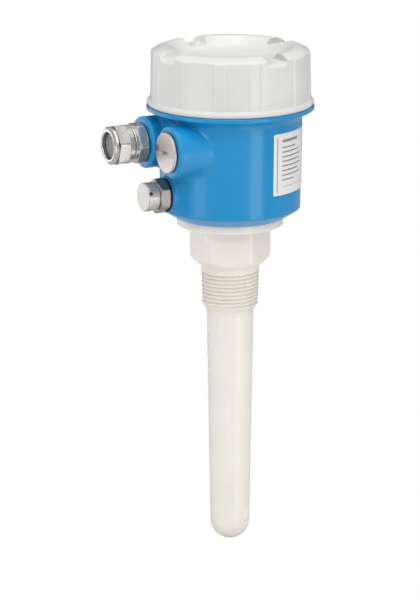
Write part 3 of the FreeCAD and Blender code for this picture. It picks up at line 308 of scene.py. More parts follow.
def grain_group():
    """Clouds: broad noise. Grain: fine noise. Both run from 0 to 1 over the surface."""
    group, source, sink = new_group(
        "clouds_and_grain",
        [("Vector", "NodeSocketVector", None), ("Cloud Scale", "NodeSocketFloat", 30.0),
         ("Grain Scale", "NodeSocketFloat", 600.0)],
        ["Clouds", "Grain"])
    clouds = add_node(group, "ShaderNodeTexNoise", values={"Detail": 3.0, "Roughness": 0.55})
    grain = add_node(group, "ShaderNodeTexNoise", values={"Detail": 2.0, "Roughness": 0.5})
    for noise, scale in ((clouds, "Cloud Scale"), (grain, "Grain Scale")):
        group.links.new(source.outputs["Vector"], noise.inputs["Vector"])
        group.links.new(source.outputs[scale], noise.inputs["Scale"])
    spread = add_node(group, "ShaderNodeMapRange", values={"From Min": 0.3, "From Max": 0.7})
    group.links.new(clouds.outputs["Fac"], spread.inputs["Value"])
    group.links.new(spread.outputs["Result"], sink.inputs["Clouds"])
    group.links.new(grain.outputs["Fac"], sink.inputs["Grain"])
    return group


def wear_group():
    """Wear: the proud-edge measure of the mesh, broken up by noise, from 0 to 1."""
    group, source, sink = new_group(
        "proud_edge_wear",
        [("Edge", "NodeSocketFloat", 0.0), ("Vector", "NodeSocketVector", None),
         ("Breakup Scale", "NodeSocketFloat", 250.0)],
        ["Wear"])
    noise = add_node(group, "ShaderNodeTexNoise", values={"Detail": 4.0})
    group.links.new(source.outputs["Vector"], noise.inputs["Vector"])
    group.links.new(source.outputs["Breakup Scale"], noise.inputs["Scale"])
    product = add_node(group, "ShaderNodeMath", {"operation": "MULTIPLY"})
    group.links.new(source.outputs["Edge"], product.inputs[0])
    group.links.new(noise.outputs["Fac"], product.inputs[1])
    step = add_node(group, "ShaderNodeMapRange", {"interpolation_type": "SMOOTHSTEP"},
                    {"From Min": 0.12, "From Max": 0.5})
    group.links.new(product.outputs["Value"], step.inputs["Value"])
    group.links.new(step.outputs["Result"], sink.inputs["Wear"])
    return group


def lathe_group():
    """Rings: noise read along the axis and the distance from it, so it draws fine turned rings."""
    group, source, sink = new_group(
        "lathe_rings",
        [("Vector", "NodeSocketVector", None), ("Ring Scale", "NodeSocketFloat", 900.0)],
        ["Rings"])
    apart = add_node(group, "ShaderNodeSeparateXYZ")
    group.links.new(source.outputs["Vector"], apart.inputs["Vector"])
    across = add_node(group, "ShaderNodeCombineXYZ")
    group.links.new(apart.outputs["Y"], across.inputs["X"])
    group.links.new(apart.outputs["Z"], across.inputs["Y"])
    distance = add_node(group, "ShaderNodeVectorMath", {"operation": "LENGTH"})
    group.links.new(across.outputs["Vector"], distance.inputs[0])
    along = add_node(group, "ShaderNodeCombineXYZ")
    group.links.new(apart.outputs["X"], along.inputs["X"])
    group.links.new(distance.outputs["Value"], along.inputs["Y"])
    noise = add_node(group, "ShaderNodeTexNoise", values={"Detail": 2.0})
    group.links.new(along.outputs["Vector"], noise.inputs["Vector"])
    group.links.new(source.outputs["Ring Scale"], noise.inputs["Scale"])
    group.links.new(noise.outputs["Fac"], sink.inputs["Rings"])
    return group


GRAIN = grain_group()
WEAR = wear_group()
LATHE = lathe_group()
print("node groups:", [group.name for group in (GRAIN, WEAR, LATHE)])


# %% [markdown]
# One function then builds each material. The tone clouds mix two near colours and move the roughness
# a little, the grain feeds a bump of a few hundredths of a millimetre at most, and the wear brightens
# proud edges. Painted shade, stored at the vertices of a piece, can darken the hollows and creases where
# shade or a dark reflection falls.
# Numbers that hold all over the surface, such as the coat, sit on the shader's own sockets.


# %% Building a finish
def srgb(red, green, blue):
    """A colour as a screen shows it, 0 to 255, as the linear values that the shader wants."""
    share = np.array([red, green, blue]) / 255.0
    linear = np.where(share <= 0.04045, share / 12.92, ((share + 0.055) / 1.055) ** 2.4)
    return (*linear.tolist(), 1.0)


def empty_tree(owner):
    """Turn on the nodes of a material or a world, and clear them."""
    owner.use_nodes = True
    owner.node_tree.nodes.clear()
    return owner.node_tree


def new_material(name):
    """An empty material with its shader, and where a pattern reads its place from."""
    material = bpy.data.materials.new(name)
    tree = empty_tree(material)
    shader = add_node(tree, "ShaderNodeBsdfPrincipled")
    sink = add_node(tree, "ShaderNodeOutputMaterial")
    tree.links.new(shader.outputs["BSDF"], sink.inputs["Surface"])
    place = add_node(tree, "ShaderNodeTexCoord").outputs["Object"]
    return material, tree, shader, place


def mix_colours(tree, share, first, second):
    """A Mix node from one colour to another; a colour may be a value or a socket."""
    mix = add_node(tree, "ShaderNodeMix", {"data_type": "RGBA"})
    tree.links.new(share, mix.inputs["Factor"])
    for socket, colour in ((mix.inputs["A"], first), (mix.inputs["B"], second)):
        if isinstance(colour, tuple):
            socket.default_value = colour
        else:
            tree.links.new(colour, socket)
    return mix.outputs["Result"]


def add_grain(tree, place, cloud_scale, grain_scale):
    """The clouds and the grain, read at a place."""
    grain = add_node(tree, "ShaderNodeGroup", {"node_tree": GRAIN},
                     {"Cloud Scale": cloud_scale, "Grain Scale": grain_scale})
    tree.links.new(place, grain.inputs["Vector"])
    return grain


def add_gloss(tree, shader, clouds, rough):
    """A roughness that follows the clouds between its least and its most."""
    gloss = add_node(tree, "ShaderNodeMapRange", values={"To Min": rough[0], "To Max": rough[1]})
    tree.links.new(clouds, gloss.inputs["Value"])
    tree.links.new(gloss.outputs["Result"], shader.inputs["Roughness"])


def add_bump(tree, height, depth):
    """A bump with its depth in millimetres."""
    bump = add_node(tree, "ShaderNodeBump", values={"Strength": 1.0, "Distance": depth * MM})
    tree.links.new(height, bump.inputs["Height"])
    return bump


def finish(name, dark, light, rough, grain_scale, grain_depth, cloud_scale=30.0, metallic=0.0, coat=0.0,
           coat_rough=0.1, worn=None, shade_colour=None, rings=None, ring_depth=0.0, specular=0.5):
    """A finish: rough is (least, most), depths are in millimetres, rings is a (side, level) axis."""
    material, tree, shader, place = new_material(name)
    grain = add_grain(tree, place, cloud_scale, grain_scale)
    colour = mix_colours(tree, grain.outputs["Clouds"], dark, light)
    if worn is not None:
        wear = add_node(tree, "ShaderNodeGroup", {"node_tree": WEAR})
        edge = add_node(tree, "ShaderNodeAttribute", {"attribute_name": "edge"})
        tree.links.new(edge.outputs["Fac"], wear.inputs["Edge"])
        tree.links.new(place, wear.inputs["Vector"])
        colour = mix_colours(tree, wear.outputs["Wear"], colour, worn)
    # Painted shade: a darker colour mixed in by a measure stored at the vertices, for hollows and creases.
    if shade_colour is not None:
        painted_shade = add_node(tree, "ShaderNodeAttribute", {"attribute_name": "painted_shade"})
        colour = mix_colours(tree, painted_shade.outputs["Fac"], colour, shade_colour)
    tree.links.new(colour, shader.inputs["Base Color"])
    add_gloss(tree, shader, grain.outputs["Clouds"], rough)
    bump = add_bump(tree, grain.outputs["Grain"], grain_depth)
    if rings is not None:
        side, level = rings
        shift = add_node(tree, "ShaderNodeMapping", values={"Location": (0.0, -side * MM, -level * MM)})
        tree.links.new(place, shift.inputs["Vector"])
        lathe = add_node(tree, "ShaderNodeGroup", {"node_tree": LATHE})
        tree.links.new(shift.outputs["Vector"], lathe.inputs["Vector"])
        turned = add_bump(tree, lathe.outputs["Rings"], ring_depth)
        tree.links.new(bump.outputs["Normal"], turned.inputs["Normal"])
        bump = turned
    tree.links.new(bump.outputs["Normal"], shader.inputs["Normal"])
    for socket, value in (("Metallic", metallic), ("Coat Weight", coat), ("Coat Roughness", coat_rough),
                          ("Specular IOR Level", specular)):
        shader.inputs[socket].default_value = value
    return material


# %% [markdown]
# ## The finishes of this object
#
# Colours were matched to the photograph side by side. The blue coat is a semi-gloss powder coat with a
# faint orange peel. The lid's coat is nearly the same paint in a pale warm grey. The probe's plastic
# is ivory, and light scatters a few millimetres into it. The fittings are nickel on brass, some of
# them duller than others, so each has its own tone and share of bare metal.

# %% Finishes for the outside
GLAND_AXIS = (16.65, 87.3)
PLUG_AXIS = (-16.65, 87.3)
VENT_AXIS = (0.0, 58.9)
BLUE = finish("blue_powder_coat", srgb(14, 133, 190), srgb(22, 142, 200), (0.30, 0.38), 700.0, 0.012,
              cloud_scale=22.0, coat=0.5, coat_rough=0.14, worn=srgb(70, 170, 222), specular=0.2)
# The pale coat's third colour is painted shade on the notches' walls.
PALE = finish("pale_lid_coat", srgb(206, 207, 204), srgb(216, 217, 213), (0.34, 0.44), 800.0, 0.012,
              cloud_scale=26.0, coat=0.15, coat_rough=0.2, worn=srgb(232, 232, 228),
              shade_colour=srgb(150, 150, 144))
# The ivory's third colour is a faint tint on the thread and painted shade in its roots.
IVORY = finish("ivory_plastic", srgb(232, 227, 219), srgb(236, 232, 225), (0.24, 0.28), 500.0, 0.010,
               cloud_scale=40.0, worn=srgb(240, 236, 228), shade_colour=srgb(219, 211, 195))
IVORY_SCATTER = {"Weight": 0.4, "Radius": (1.0, 0.8, 0.55), "Scale": 5.0 * MM}
for setting, value in IVORY_SCATTER.items():
    IVORY.node_tree.nodes["Principled BSDF"].inputs[f"Subsurface {setting}"].default_value = value
BLACK_RUBBER = finish("black_rubber", srgb(14, 15, 17), srgb(24, 25, 27), (0.55, 0.7), 1500.0, 0.01)
GREY_RUBBER = finish("grey_rubber", srgb(144, 145, 146), srgb(158, 159, 160), (0.5, 0.62), 1500.0, 0.008)
print("coats, plastic and rubber:", [coat.name for coat in (BLUE, PALE, IVORY, BLACK_RUBBER, GREY_RUBBER)])


# %% Nickel for the fittings
def nickel(fitting_name, axis, dark, light, share, rough=(0.20, 0.28), worn=(232, 230, 226),
           ring_depth=0.004):
    """Nickel plate with the rings of a lathe about an axis; share is how much of it is bare metal."""
    # The nickel's dark colour is painted: a dark reflection on the nut's flat edge, and shade in hollows.
    return finish(f"nickel_{fitting_name}", srgb(*dark), srgb(*light), rough, 900.0, 0.002,
                  cloud_scale=120.0, metallic=share, worn=srgb(*worn), shade_colour=srgb(46, 42, 40), rings=axis,
                  ring_depth=ring_depth)


NICKEL = {
    "gland": nickel("gland", GLAND_AXIS, (216, 213, 209), (230, 227, 223), 1.0),
    "gland_body": nickel("gland_body", GLAND_AXIS, (204, 201, 197), (218, 215, 211), 0.8),
    "vent": nickel("vent", VENT_AXIS, (190, 186, 182), (202, 198, 194), 0.7),
    "vent_base": nickel("vent_base", VENT_AXIS, (150, 145, 140), (162, 157, 152), 0.9),
    "plug": nickel("plug", PLUG_AXIS, (216, 209, 204), (224, 217, 212), 1.0, rough=(0.40, 0.48),
                   worn=(236, 230, 226), ring_depth=0.003),
}
print("nickel finishes:", list(NICKEL))


# %% Finishes for the pieces inside
def moulded(name, dark, light):
    """Plain moulded plastic with a fine grain."""
    return finish(name, srgb(*dark), srgb(*light), (0.4, 0.5), 900.0, 0.006)


def metal(name, dark, light, rough, cloud_scale):
    """Bare or plated metal."""
    return finish(name, srgb(*dark), srgb(*light), rough, 900.0, 0.003, cloud_scale=cloud_scale,
                  metallic=1.0)


def lamp_lens(name, dark, light):
    """A glossy lamp lens."""
    return finish(name, srgb(*dark), srgb(*light), (0.12, 0.2), 900.0, 0.002, coat=0.5)


INSIDE = {
    "slip_plastic": finish("slip_ring_plastic", srgb(225, 225, 220), srgb(235, 235, 230), (0.4, 0.5), 900.0,
                           0.005),
    "membrane": finish("membrane_fleece", srgb(226, 226, 224), srgb(240, 240, 238), (0.8, 0.9), 3000.0,
                       0.03),
    "brass": metal("plain_brass", (188, 150, 78), (204, 168, 96), (0.25, 0.36), 30.0),
    "steel": metal("zinc_plated_steel", (176, 178, 180), (196, 198, 200), (0.24, 0.36), 200.0),
    "potting": finish("potting_resin", srgb(34, 36, 40), srgb(44, 46, 52), (0.3, 0.5), 300.0, 0.02),
    "terminal_plastic": moulded("terminal_plastic", (62, 118, 70), (74, 130, 82)),
    "switch_plastic": moulded("switch_plastic", (28, 29, 31), (38, 39, 41)),
    "slider_plastic": moulded("slider_plastic", (226, 224, 218), (236, 234, 228)),
    "lamp_green": lamp_lens("green_lamp_lens", (40, 160, 70), (60, 180, 90)),
    "lamp_red": lamp_lens("red_lamp_lens", (190, 40, 36), (205, 56, 50)),
    "nickel": NICKEL["gland"],
    "elastomer_black": BLACK_RUBBER,
    "elastomer_grey": GREY_RUBBER,
    "body_coating": BLUE,
    "lid_coating": PALE,
    "probe_plastic": IVORY,
    "plate_foil": PALE,
}
print("inside finishes:", len(INSIDE))

# %% [markdown]
# ## Putting a piece on the object
#
# A finished piece needs a body to ride on, the CAD node it stands for, and a material. It also gets a
# measure of its proud edges, which the wear reads: how far each vertex stands above the middle of its
# neighbours. Flat stretches and hollows come out at nought. Where a piece gets painted shade, a function of
# the place says how much, and that is stored at the vertices too.


# %% Putting a piece in the scene
PROUD_GAIN = 4.0


def mark_proud_edges(mesh):
    """Store at each vertex the mean slope down to its neighbours, along its normal."""
    count, edge_count = len(mesh.vertices), len(mesh.edges)
    spots = np.empty(count * 3, np.float32)
    normals = np.empty(count * 3, np.float32)
    ends = np.empty(edge_count * 2, np.int32)
    mesh.vertices.foreach_get("co", spots)
    mesh.vertex_normals.foreach_get("vector", normals)
    mesh.edges.foreach_get("vertices", ends)
    spots, normals, ends = spots.reshape(-1, 3), normals.reshape(-1, 3), ends.reshape(-1, 2)
    here = np.concatenate([ends[:, 0], ends[:, 1]])
    there = np.concatenate([ends[:, 1], ends[:, 0]])
    step = spots[here] - spots[there]
    slope = (step * normals[here]).sum(axis=1) / np.maximum(np.linalg.norm(step, axis=1), 1e-9)
    proud = np.bincount(here, slope, count) / np.maximum(np.bincount(here, minlength=count), 1)
    layer = mesh.attributes.new("edge", "FLOAT", "POINT")
    layer.data.foreach_set("value", np.clip(proud * PROUD_GAIN, 0.0, 1.0).astype(np.float32))


def mark_painted_shade(mesh, measure):
    """Store at each vertex how much painted shade it takes, as a function of its place in millimetres gives
    it.
    """
    spots = np.empty(len(mesh.vertices) * 3, np.float32)
    mesh.vertices.foreach_get("co", spots)
    east, north, height = (spots.reshape(-1, 3) / MM).T
    layer = mesh.attributes.new("painted_shade", "FLOAT", "POINT")
    layer.data.foreach_set("value", measure(east, north, height).astype(np.float32))
    return mesh


def add_piece(name, mesh, body, node, material, crease=38.0):
    """Make the object: smooth faces with creases past an angle, a body, the CAD node it hides and its
    material.
    """
    mesh.name = name
    mesh.polygons.foreach_set("use_smooth", np.ones(len(mesh.polygons), bool))
    mesh.set_sharp_from_angle(angle=np.radians(crease))
    mark_proud_edges(mesh)
    mesh.materials.clear()
    mesh.materials.append(material)
    thing = bpy.data.objects.new(name, mesh)
    bpy.context.scene.collection.objects.link(thing)
    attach(thing, body)
    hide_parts(node)
    sides = np.empty(len(mesh.polygons), np.int32)
    mesh.polygons.foreach_get("loop_total", sides)
    print(f"{name}: {len(mesh.vertices)} points, {int((sides - 2).sum())} triangles")


# %% [markdown]
# ## The probe
#
# One moulding: a round-nosed rod, a tapered pipe thread with eleven turns to the inch, a neck, a
# hexagon for the spanner, and a collar under the housing. All of it is one grid about the main axis.
# The rows are close where the thread and the spanner chamfer need them, and the hexagon and the thread
# only change the radius of the rows that they cover. The thread is a little yellower, and its roots carry
# painted shade.

# %% Probe
PROBE_COLUMNS = 216
TIP_END, TIP_TOP, TIP_RADIUS = -153.85, -142.3, 11.55
ROD_TOP, ROD_RADIUS = -13.1, 13.7
THREAD_LOW, THREAD_HIGH = -10.0, 11.0
THREAD_PITCH = 2.309
THREAD_DEPTH = 1.35
THREAD_DROP = 0.7
GAUGE_RADIUS = 16.62
TAPER = 32.0
NECK_RADIUS = 17.0
HEX_FOOT = (17.25, 14.1)
HEX_TURNED, HEX_CHAMFER, HEX_TOP = 23.8, 18.8, 37.6
HEX_APOTHEM = 20.5
HEX_CLOCK = 34.0
COLLAR_RADIUS, COLLAR_LOW, COLLAR_TOP = 30.9, 37.7, 42.34
SPIGOT_RADIUS, SPIGOT_TOP = 18.0, 58.0
RING_SEAT, RING_LOW, RING_HIGH = 15.9, 45.35, 47.35
PROBE_BORE, BORE_END = 8.2, -139.85
CREST_TINT, ROOT_SHADE = 0.06, 0.40


def probe_outline():
    """The turned blank, up the outside from the round tip and down the bore."""
    tip = bulge((0.0, TIP_END), (TIP_RADIUS, TIP_TOP), TIP_RADIUS, 18)
    rod = filled(np.array([(TIP_RADIUS, TIP_TOP), (ROD_RADIUS, ROD_TOP)]), 4.0)[1:]
    thread = filled(np.array([
        (ROD_RADIUS, ROD_TOP), (15.6, -10.7), (16.31, THREAD_LOW), (16.96, THREAD_HIGH),
        (NECK_RADIUS, THREAD_HIGH + 0.15), (NECK_RADIUS, 13.7), HEX_FOOT]), 0.16)[1:]
    chamfer = filled(np.array([HEX_FOOT, (18.2, 14.2), (HEX_TURNED, HEX_CHAMFER)]), 0.25)[1:]
    flats = filled(np.array([(HEX_TURNED, HEX_CHAMFER), (HEX_TURNED, HEX_TOP)]), 1.5)[1:]
    collar = filled(rounded([
        (HEX_TURNED, HEX_TOP), (23.9, COLLAR_LOW), (COLLAR_RADIUS, COLLAR_LOW, 0.6),
        (COLLAR_RADIUS, COLLAR_TOP, 0.25), (SPIGOT_RADIUS, COLLAR_TOP), (SPIGOT_RADIUS, RING_LOW),
        (RING_SEAT, RING_LOW), (RING_SEAT, RING_HIGH), (SPIGOT_RADIUS, RING_HIGH),
        (SPIGOT_RADIUS, SPIGOT_TOP, 0.5), (PROBE_BORE, SPIGOT_TOP), (PROBE_BORE, BORE_END),
        (0.0, BORE_END)]), 6.0)[1:]
    return np.concatenate([tip, rod, thread, chamfer, flats, collar])


def probe():
    """Radius less the thread's groove, or the soft lesser of the blank and the hexagon, for each row."""
    outline = probe_outline()
    angle = np.radians(HEX_CLOCK) + TURN * np.arange(PROBE_COLUMNS) / PROBE_COLUMNS
    radius = np.repeat(outline[:, :1], PROBE_COLUMNS, axis=1)
    height = outline[:, 1:2]
    run_in = ramp(height, THREAD_LOW - 0.9, THREAD_LOW + 1.0)
    run_out = 1.0 - ramp(height, THREAD_HIGH - 1.6, THREAD_HIGH)
    cut = THREAD_DEPTH * run_in * run_out * groove(height + THREAD_DROP, angle[None], THREAD_PITCH)
    threaded = (height > THREAD_LOW - 2.3) & (height < THREAD_HIGH + 0.1) & (radius > ROD_RADIUS + 0.3)
    radius = np.where(threaded, radius - cut, radius)
    flats = soft_least(radius, hexagon(HEX_APOTHEM, HEX_CLOCK, angle)[None])
    in_hex = (height > HEX_FOOT[1] - 0.1) & (height < HEX_TOP + 0.05) & (radius > NECK_RADIUS)
    radius = np.where(in_hex, flats, radius)
    points = upright(radius, height, angle[None])
    return mesh_from("probe_sheath", points, *grid_faces(*points.shape[:2], low_pole=True, high_pole=True))


def thread_tint_and_painted_shade(east, north, height):
    """A faint yellow tint on the thread, and painted shade in its roots, where less light comes."""
    radius = np.hypot(east, north)
    depth = np.clip((GAUGE_RADIUS + height / TAPER - radius) / THREAD_DEPTH, 0.0, 1.0)
    threaded = (np.abs(height) < THREAD_HIGH) & (radius > ROD_RADIUS + 0.3)
    return (CREST_TINT + ROOT_SHADE * depth) * threaded


add_piece("probe_moulding", mark_painted_shade(probe(), thread_tint_and_painted_shade), "housing_body", "probe_sheath",
          IVORY)

# %% [markdown]
# ## The housing
#
# A die-cast pot: bevelled foot, slightly tapering wall, a flange that carries the lid, a neck inside
# it, two entry bosses side by side and a pad for the vent. The pot is a spun ring. Each boss is its
# own grid round the entry's axis, and its foot flares into the wall with the concave round of the
# casting: the flare is a quarter circle added to the wall's own reach. Booleans then join them,
# which keeps the feet exact, and cut the bores.

# %% Housing
FLOOR_BORE, FLOOR_TOP = 18.1, 50.5
FOOT_RADIUS, FOOT_LEVEL = 31.75, 42.35
BEVEL_RADIUS, BEVEL_TOP = 40.75, 48.0
WALL_RADIUS, WALL_TOP = 41.5, 103.0
FLANGE_RADIUS, FLANGE_LOW, FLANGE_TOP = 48.6, 106.2, 108.5
LID_NECK_RADIUS, LID_NECK_TOP = 43.0, 121.5
CAVITY_RADIUS = 37.4
WALL_HEIGHTS = (FOOT_LEVEL, BEVEL_TOP, 103.5, 105.9, FLANGE_TOP)
WALL_RADII = (FOOT_RADIUS, BEVEL_RADIUS, WALL_RADIUS, FLANGE_RADIUS, FLANGE_RADIUS)


def pot():
    """The spun shell: foot, bevel, wall, shoulder, flange, lid neck, cavity and floor."""
    outline = filled(rounded([
        (FLOOR_BORE, FOOT_LEVEL), (FOOT_RADIUS, FOOT_LEVEL, 0.7), (BEVEL_RADIUS, BEVEL_TOP, 1.6),
        (WALL_RADIUS, WALL_TOP, 5.0), (FLANGE_RADIUS, FLANGE_LOW, 0.9), (FLANGE_RADIUS, FLANGE_TOP, 0.7),
        (LID_NECK_RADIUS, FLANGE_TOP, 0.4), (LID_NECK_RADIUS, LID_NECK_TOP, 1.0),
        (CAVITY_RADIUS, LID_NECK_TOP, 0.4), (CAVITY_RADIUS, FLOOR_TOP, 1.0), (FLOOR_BORE, FLOOR_TOP)],
        loop=True), 2.0, loop=True)
    return spun("pot", outline, 256, upright, ring=True)


def wall_reach(across, level, inset=0.0):
    """How far out along -X the round wall lies, at a distance across and a level."""
    radius = np.interp(level, WALL_HEIGHTS, WALL_RADII) - inset
    return np.sqrt(np.maximum(radius**2 - across**2, 1.0))


print("the wall at the vent's level is", round(float(wall_reach(*VENT_AXIS)), 2), "mm from the axis")

# %% Entry bosses
BOSS_COLUMNS = 160
BOSS_RADIUS, BOSS_FACE, BOSS_EDGE = 15.0, 49.0, 1.6
PAD_RADIUS, PAD_FACE, PAD_EDGE = 10.6, 42.4, 0.5
BOSS_FLARE, BOSS_PINCH, PAD_FLARE = 2.6, 1.4, 1.2
ENTRY_BORE, VENT_BORE = 10.0, 6.0
MOUTH_ROUND = 0.5
FOOT_SINK = 0.02
SKIRT_WIDTH, SKIRT_SINK = 0.4, 0.3
ROOT_INSET = 1.6
DRILL_START, DRILL_END = 22.0, 60.0


def wall_round(axis, radius, angle, inset=0.0):
    """The wall's reach all round an entry's axis, at a distance from that axis."""
    side, level = axis
    return wall_reach(side + radius * np.sin(angle), level + radius * np.cos(angle), inset)


def boss(name, axis, radius, face, edge, flare, bore, pinch=0.0):
    """A boss as a ring: flared foot, side, rounded edge, face, mouth, bore, then back under the wall.

    The foot adds a quarter circle to the wall's own reach. Its size shrinks by the pinch towards the
    middle of the housing, where two bosses stand close together.
    """
    angle = (TURN * np.arange(BOSS_COLUMNS) / BOSS_COLUMNS)[None]
    inwards = np.maximum(-np.sign(axis[0]) * np.sin(angle), 0.0)
    size = flare - pinch * inwards**2
    foot = size * (1.0 - np.cos(np.linspace(0.5 * np.pi, 0.0, 9)))[:, None]
    lift = size - np.sqrt(np.maximum(size**2 - (size - foot) ** 2, 0.0)) - FOOT_SINK
    out = np.concatenate([radius + size + SKIRT_WIDTH, radius + foot])
    lift = np.concatenate([np.full_like(size, -SKIRT_SINK), lift])
    foot_reach = wall_round(axis, out, angle) + lift
    side_share = np.linspace(0.0, 1.0, 6)[1:, None]
    side_reach = foot_reach[-1:] + (face - edge - foot_reach[-1:]) * side_share
    turn = np.linspace(0.0, 0.5 * np.pi, 8)[1:, None]
    mouth = bore + MOUTH_ROUND
    under = np.concatenate([np.full_like(size, bore), radius + size])
    rows = [
        (out, foot_reach),
        (np.full_like(side_share, radius), side_reach),
        (radius - edge + edge * np.cos(turn), face - edge + edge * np.sin(turn)),
        (np.array([[mouth]]), np.array([[face]])),
        (mouth - MOUTH_ROUND * np.sin(turn), face - MOUTH_ROUND + MOUTH_ROUND * np.cos(turn)),
        (under, wall_round(axis, under, angle, ROOT_INSET)),
    ]
    distance, reach = (np.concatenate([np.broadcast_to(part, (len(part), BOSS_COLUMNS)) for part in parts])
                       for parts in zip(*rows))
    points = about(axis)(distance, reach, angle)
    return mesh_from(name, points, *grid_faces(*points.shape[:2], ring=True))


def drill(axis, radius):
    """A plain cylinder along an entry's axis, to take away."""
    outline = np.array([(0.0, DRILL_START), (radius, DRILL_START), (radius, DRILL_END), (0.0, DRILL_END)])
    return spun("drill", outline, 96, about(axis))


boss_height = BOSS_FACE - float(wall_reach(*GLAND_AXIS))
print("an entry boss stands", round(boss_height, 2), "mm out of the wall at its axis")

# %% Posts inside, and the whole casting
POST_CIRCLE = 29.8
POST_TURNS = (0.0, 120.0, 240.0)
EARTH_AXIS = (0.0, 99.5)


def post(turn):
    """A screw post on the floor, with its blind hole, at a turn in degrees from east."""
    outline = rounded([(0.0, 49.5), (3.0, 49.5), (3.0, 60.0, 0.3), (1.6, 60.0), (1.6, 53.0), (0.0, 53.0)])
    east, north = POST_CIRCLE * np.cos(np.radians(turn)), POST_CIRCLE * np.sin(np.radians(turn))
    return spun("post", outline, 32, partial(upright, east=east, north=north))


def earth_boss():
    """The inner boss for the earth screw, which points inwards from the +X wall."""
    outline = np.array([(0.0, -38.4), (5.0, -38.4), (5.0, -31.4), (2.1, -31.4), (2.1, -36.4), (0.0, -36.4)])
    return spun("earth_boss", outline, 48, about(EARTH_AXIS))


def housing():
    """Pot, bosses and posts joined, then the three bores taken away."""
    bosses = [boss(name, axis, BOSS_RADIUS, BOSS_FACE, BOSS_EDGE, BOSS_FLARE, ENTRY_BORE, BOSS_PINCH)
              for name, axis in (("gland_boss", GLAND_AXIS), ("plug_boss", PLUG_AXIS))]
    bosses += [boss("vent_pad", VENT_AXIS, PAD_RADIUS, PAD_FACE, PAD_EDGE, PAD_FLARE, VENT_BORE)]
    inner = [post(turn) for turn in POST_TURNS] + [earth_boss()]
    solid = merged(pot(), bosses + inner, "UNION")
    bores = [drill(GLAND_AXIS, ENTRY_BORE), drill(PLUG_AXIS, ENTRY_BORE), drill(VENT_AXIS, VENT_BORE)]
    return merged(solid, bores, "DIFFERENCE")


add_piece("housing_casting", housing(), "housing_body", "housing", BLUE)

# %% [markdown]
# ## The lid
#
# The screw lid has a rounded bead at its foot, twelve soft grip ribs in groups of three, a crowned
# rim with four flat-floored notches for a key, and a dished top. The grid's columns follow the
# notches: near a notch they are lines of equal distance from its middle, so its floor, its fillets,
# its walls and its rounded edges all fall on columns. The section itself is smoothed along its
# length, which rounds every edge a little as the casting does. Painted shade darkens the notches' walls.

# %% Lid
LID_CLOCK = 8.65
QUARTER = TURN / 4.0
MIDWAY = 45.0
BEAD_LOW, BEAD_TOP = 108.7, 112.0
SIDE_RADIUS, SIDE_TOP = 45.6, 139.8
CROWN_RADIUS, CROWN_LEVEL = 39.4, 142.45
DISH_RADIUS, DISH_LEVEL = 28.7, 136.15
LID_BORE, ROOF_LEVEL = 43.3, 132.75
SEAL_ROOM, SEAL_TOP = 46.3, 112.3
NOTCH_HALF = 6.5
NOTCH_LEVEL = 138.1
NOTCH_CORNER = 1.6
NOTCH_DRAFT = 0.3
NOTCH_EDGE = 0.7
NOTCH_LIP = 2.0
NOTCH_REACH = NOTCH_HALF + NOTCH_DRAFT + NOTCH_EDGE
RIB_PROUD = 0.5
RIB_HALF = 3.2
RIB_SOFT = 0.5
RIB_EDGE = 0.9
RIB_ANGLE = 19.3
RIB_FADE = (138.6, 140.4)
RIB_INSIDE = 44.0
SMOOTH_ROWS = 2.2
ROW_LENGTH, BEND_WEIGHT = 1.6, 9.0
NOTCH_SHADE = 0.5


def lid_columns():
    """Angles from a notch at the side wall: its floor, fillet, wall and edge, then the ribs' edges."""
    turn = np.linspace(0.0, 0.5 * np.pi, 7)[1:]
    distance = np.concatenate([
        np.linspace(0.0, NOTCH_HALF - NOTCH_CORNER, 5),
        NOTCH_HALF - NOTCH_CORNER * (1.0 - np.sin(turn)),
        NOTCH_HALF + NOTCH_DRAFT * np.linspace(0.0, 1.0, 6)[1:],
        NOTCH_REACH - NOTCH_EDGE * np.cos(turn)])
    notch = np.degrees(np.arcsin(distance / SIDE_RADIUS))
    edge = np.degrees(RIB_EDGE / SIDE_RADIUS)
    half = np.degrees(RIB_HALF / SIDE_RADIUS)
    steps = [RIB_ANGLE - half, RIB_ANGLE + half, MIDWAY - half]
    marks = [notch[-1]] + [step + way * edge for step in steps for way in (-1.0, 1.0)] + [MIDWAY]
    counts = [5, 7, 4, 7, 8, 7, 4]
    runs = [np.linspace(low, high, count + 1)[1:]
            for low, high, count in zip(marks[:-1], marks[1:], counts)]
    eighth = np.concatenate([notch] + runs)
    quarter = np.concatenate([eighth, 2.0 * MIDWAY - eighth[-2:0:-1]])
    return np.concatenate([quarter + 2.0 * MIDWAY * place for place in range(4)])


def lid_section():
    """The turned outline from the bead's foot over the crown to the dish's middle, in equal steps."""
    bead = bulge((47.5, BEAD_LOW), (47.3, BEAD_TOP), 1.95, 24)
    side = np.array([(46.15, BEAD_TOP + 0.3), (SIDE_RADIUS, SIDE_TOP)])
    crown = bulge((SIDE_RADIUS, SIDE_TOP), (CROWN_RADIUS, CROWN_LEVEL), 24.0, 16)[1:]
    dish = rounded([(CROWN_RADIUS, CROWN_LEVEL), (35.5, CROWN_LEVEL, 3.0), (DISH_RADIUS, DISH_LEVEL, 6.0),
                    (0.0, DISH_LEVEL)], steps=10)[1:]
    path = np.concatenate([bead, side, crown, dish])
    length = np.concatenate([[0.0], np.cumsum(np.linalg.norm(np.diff(path, axis=0), axis=1))])
    even = np.linspace(0.0, length[-1], int(length[-1] / 0.15))
    return np.stack([np.interp(even, length, path[:, 0]), np.interp(even, length, path[:, 1])], axis=1)


def lid_inside():
    """The inner outline from the roof's middle down the bore to the foot, with room for the seal."""
    return filled(rounded([
        (0.0, ROOF_LEVEL), (LID_BORE, ROOF_LEVEL, 1.0), (LID_BORE, SEAL_TOP, 0.2),
        (SEAL_ROOM, SEAL_TOP, 0.3), (SEAL_ROOM, BEAD_LOW, 0.2), (47.0, BEAD_LOW)]), 4.0)


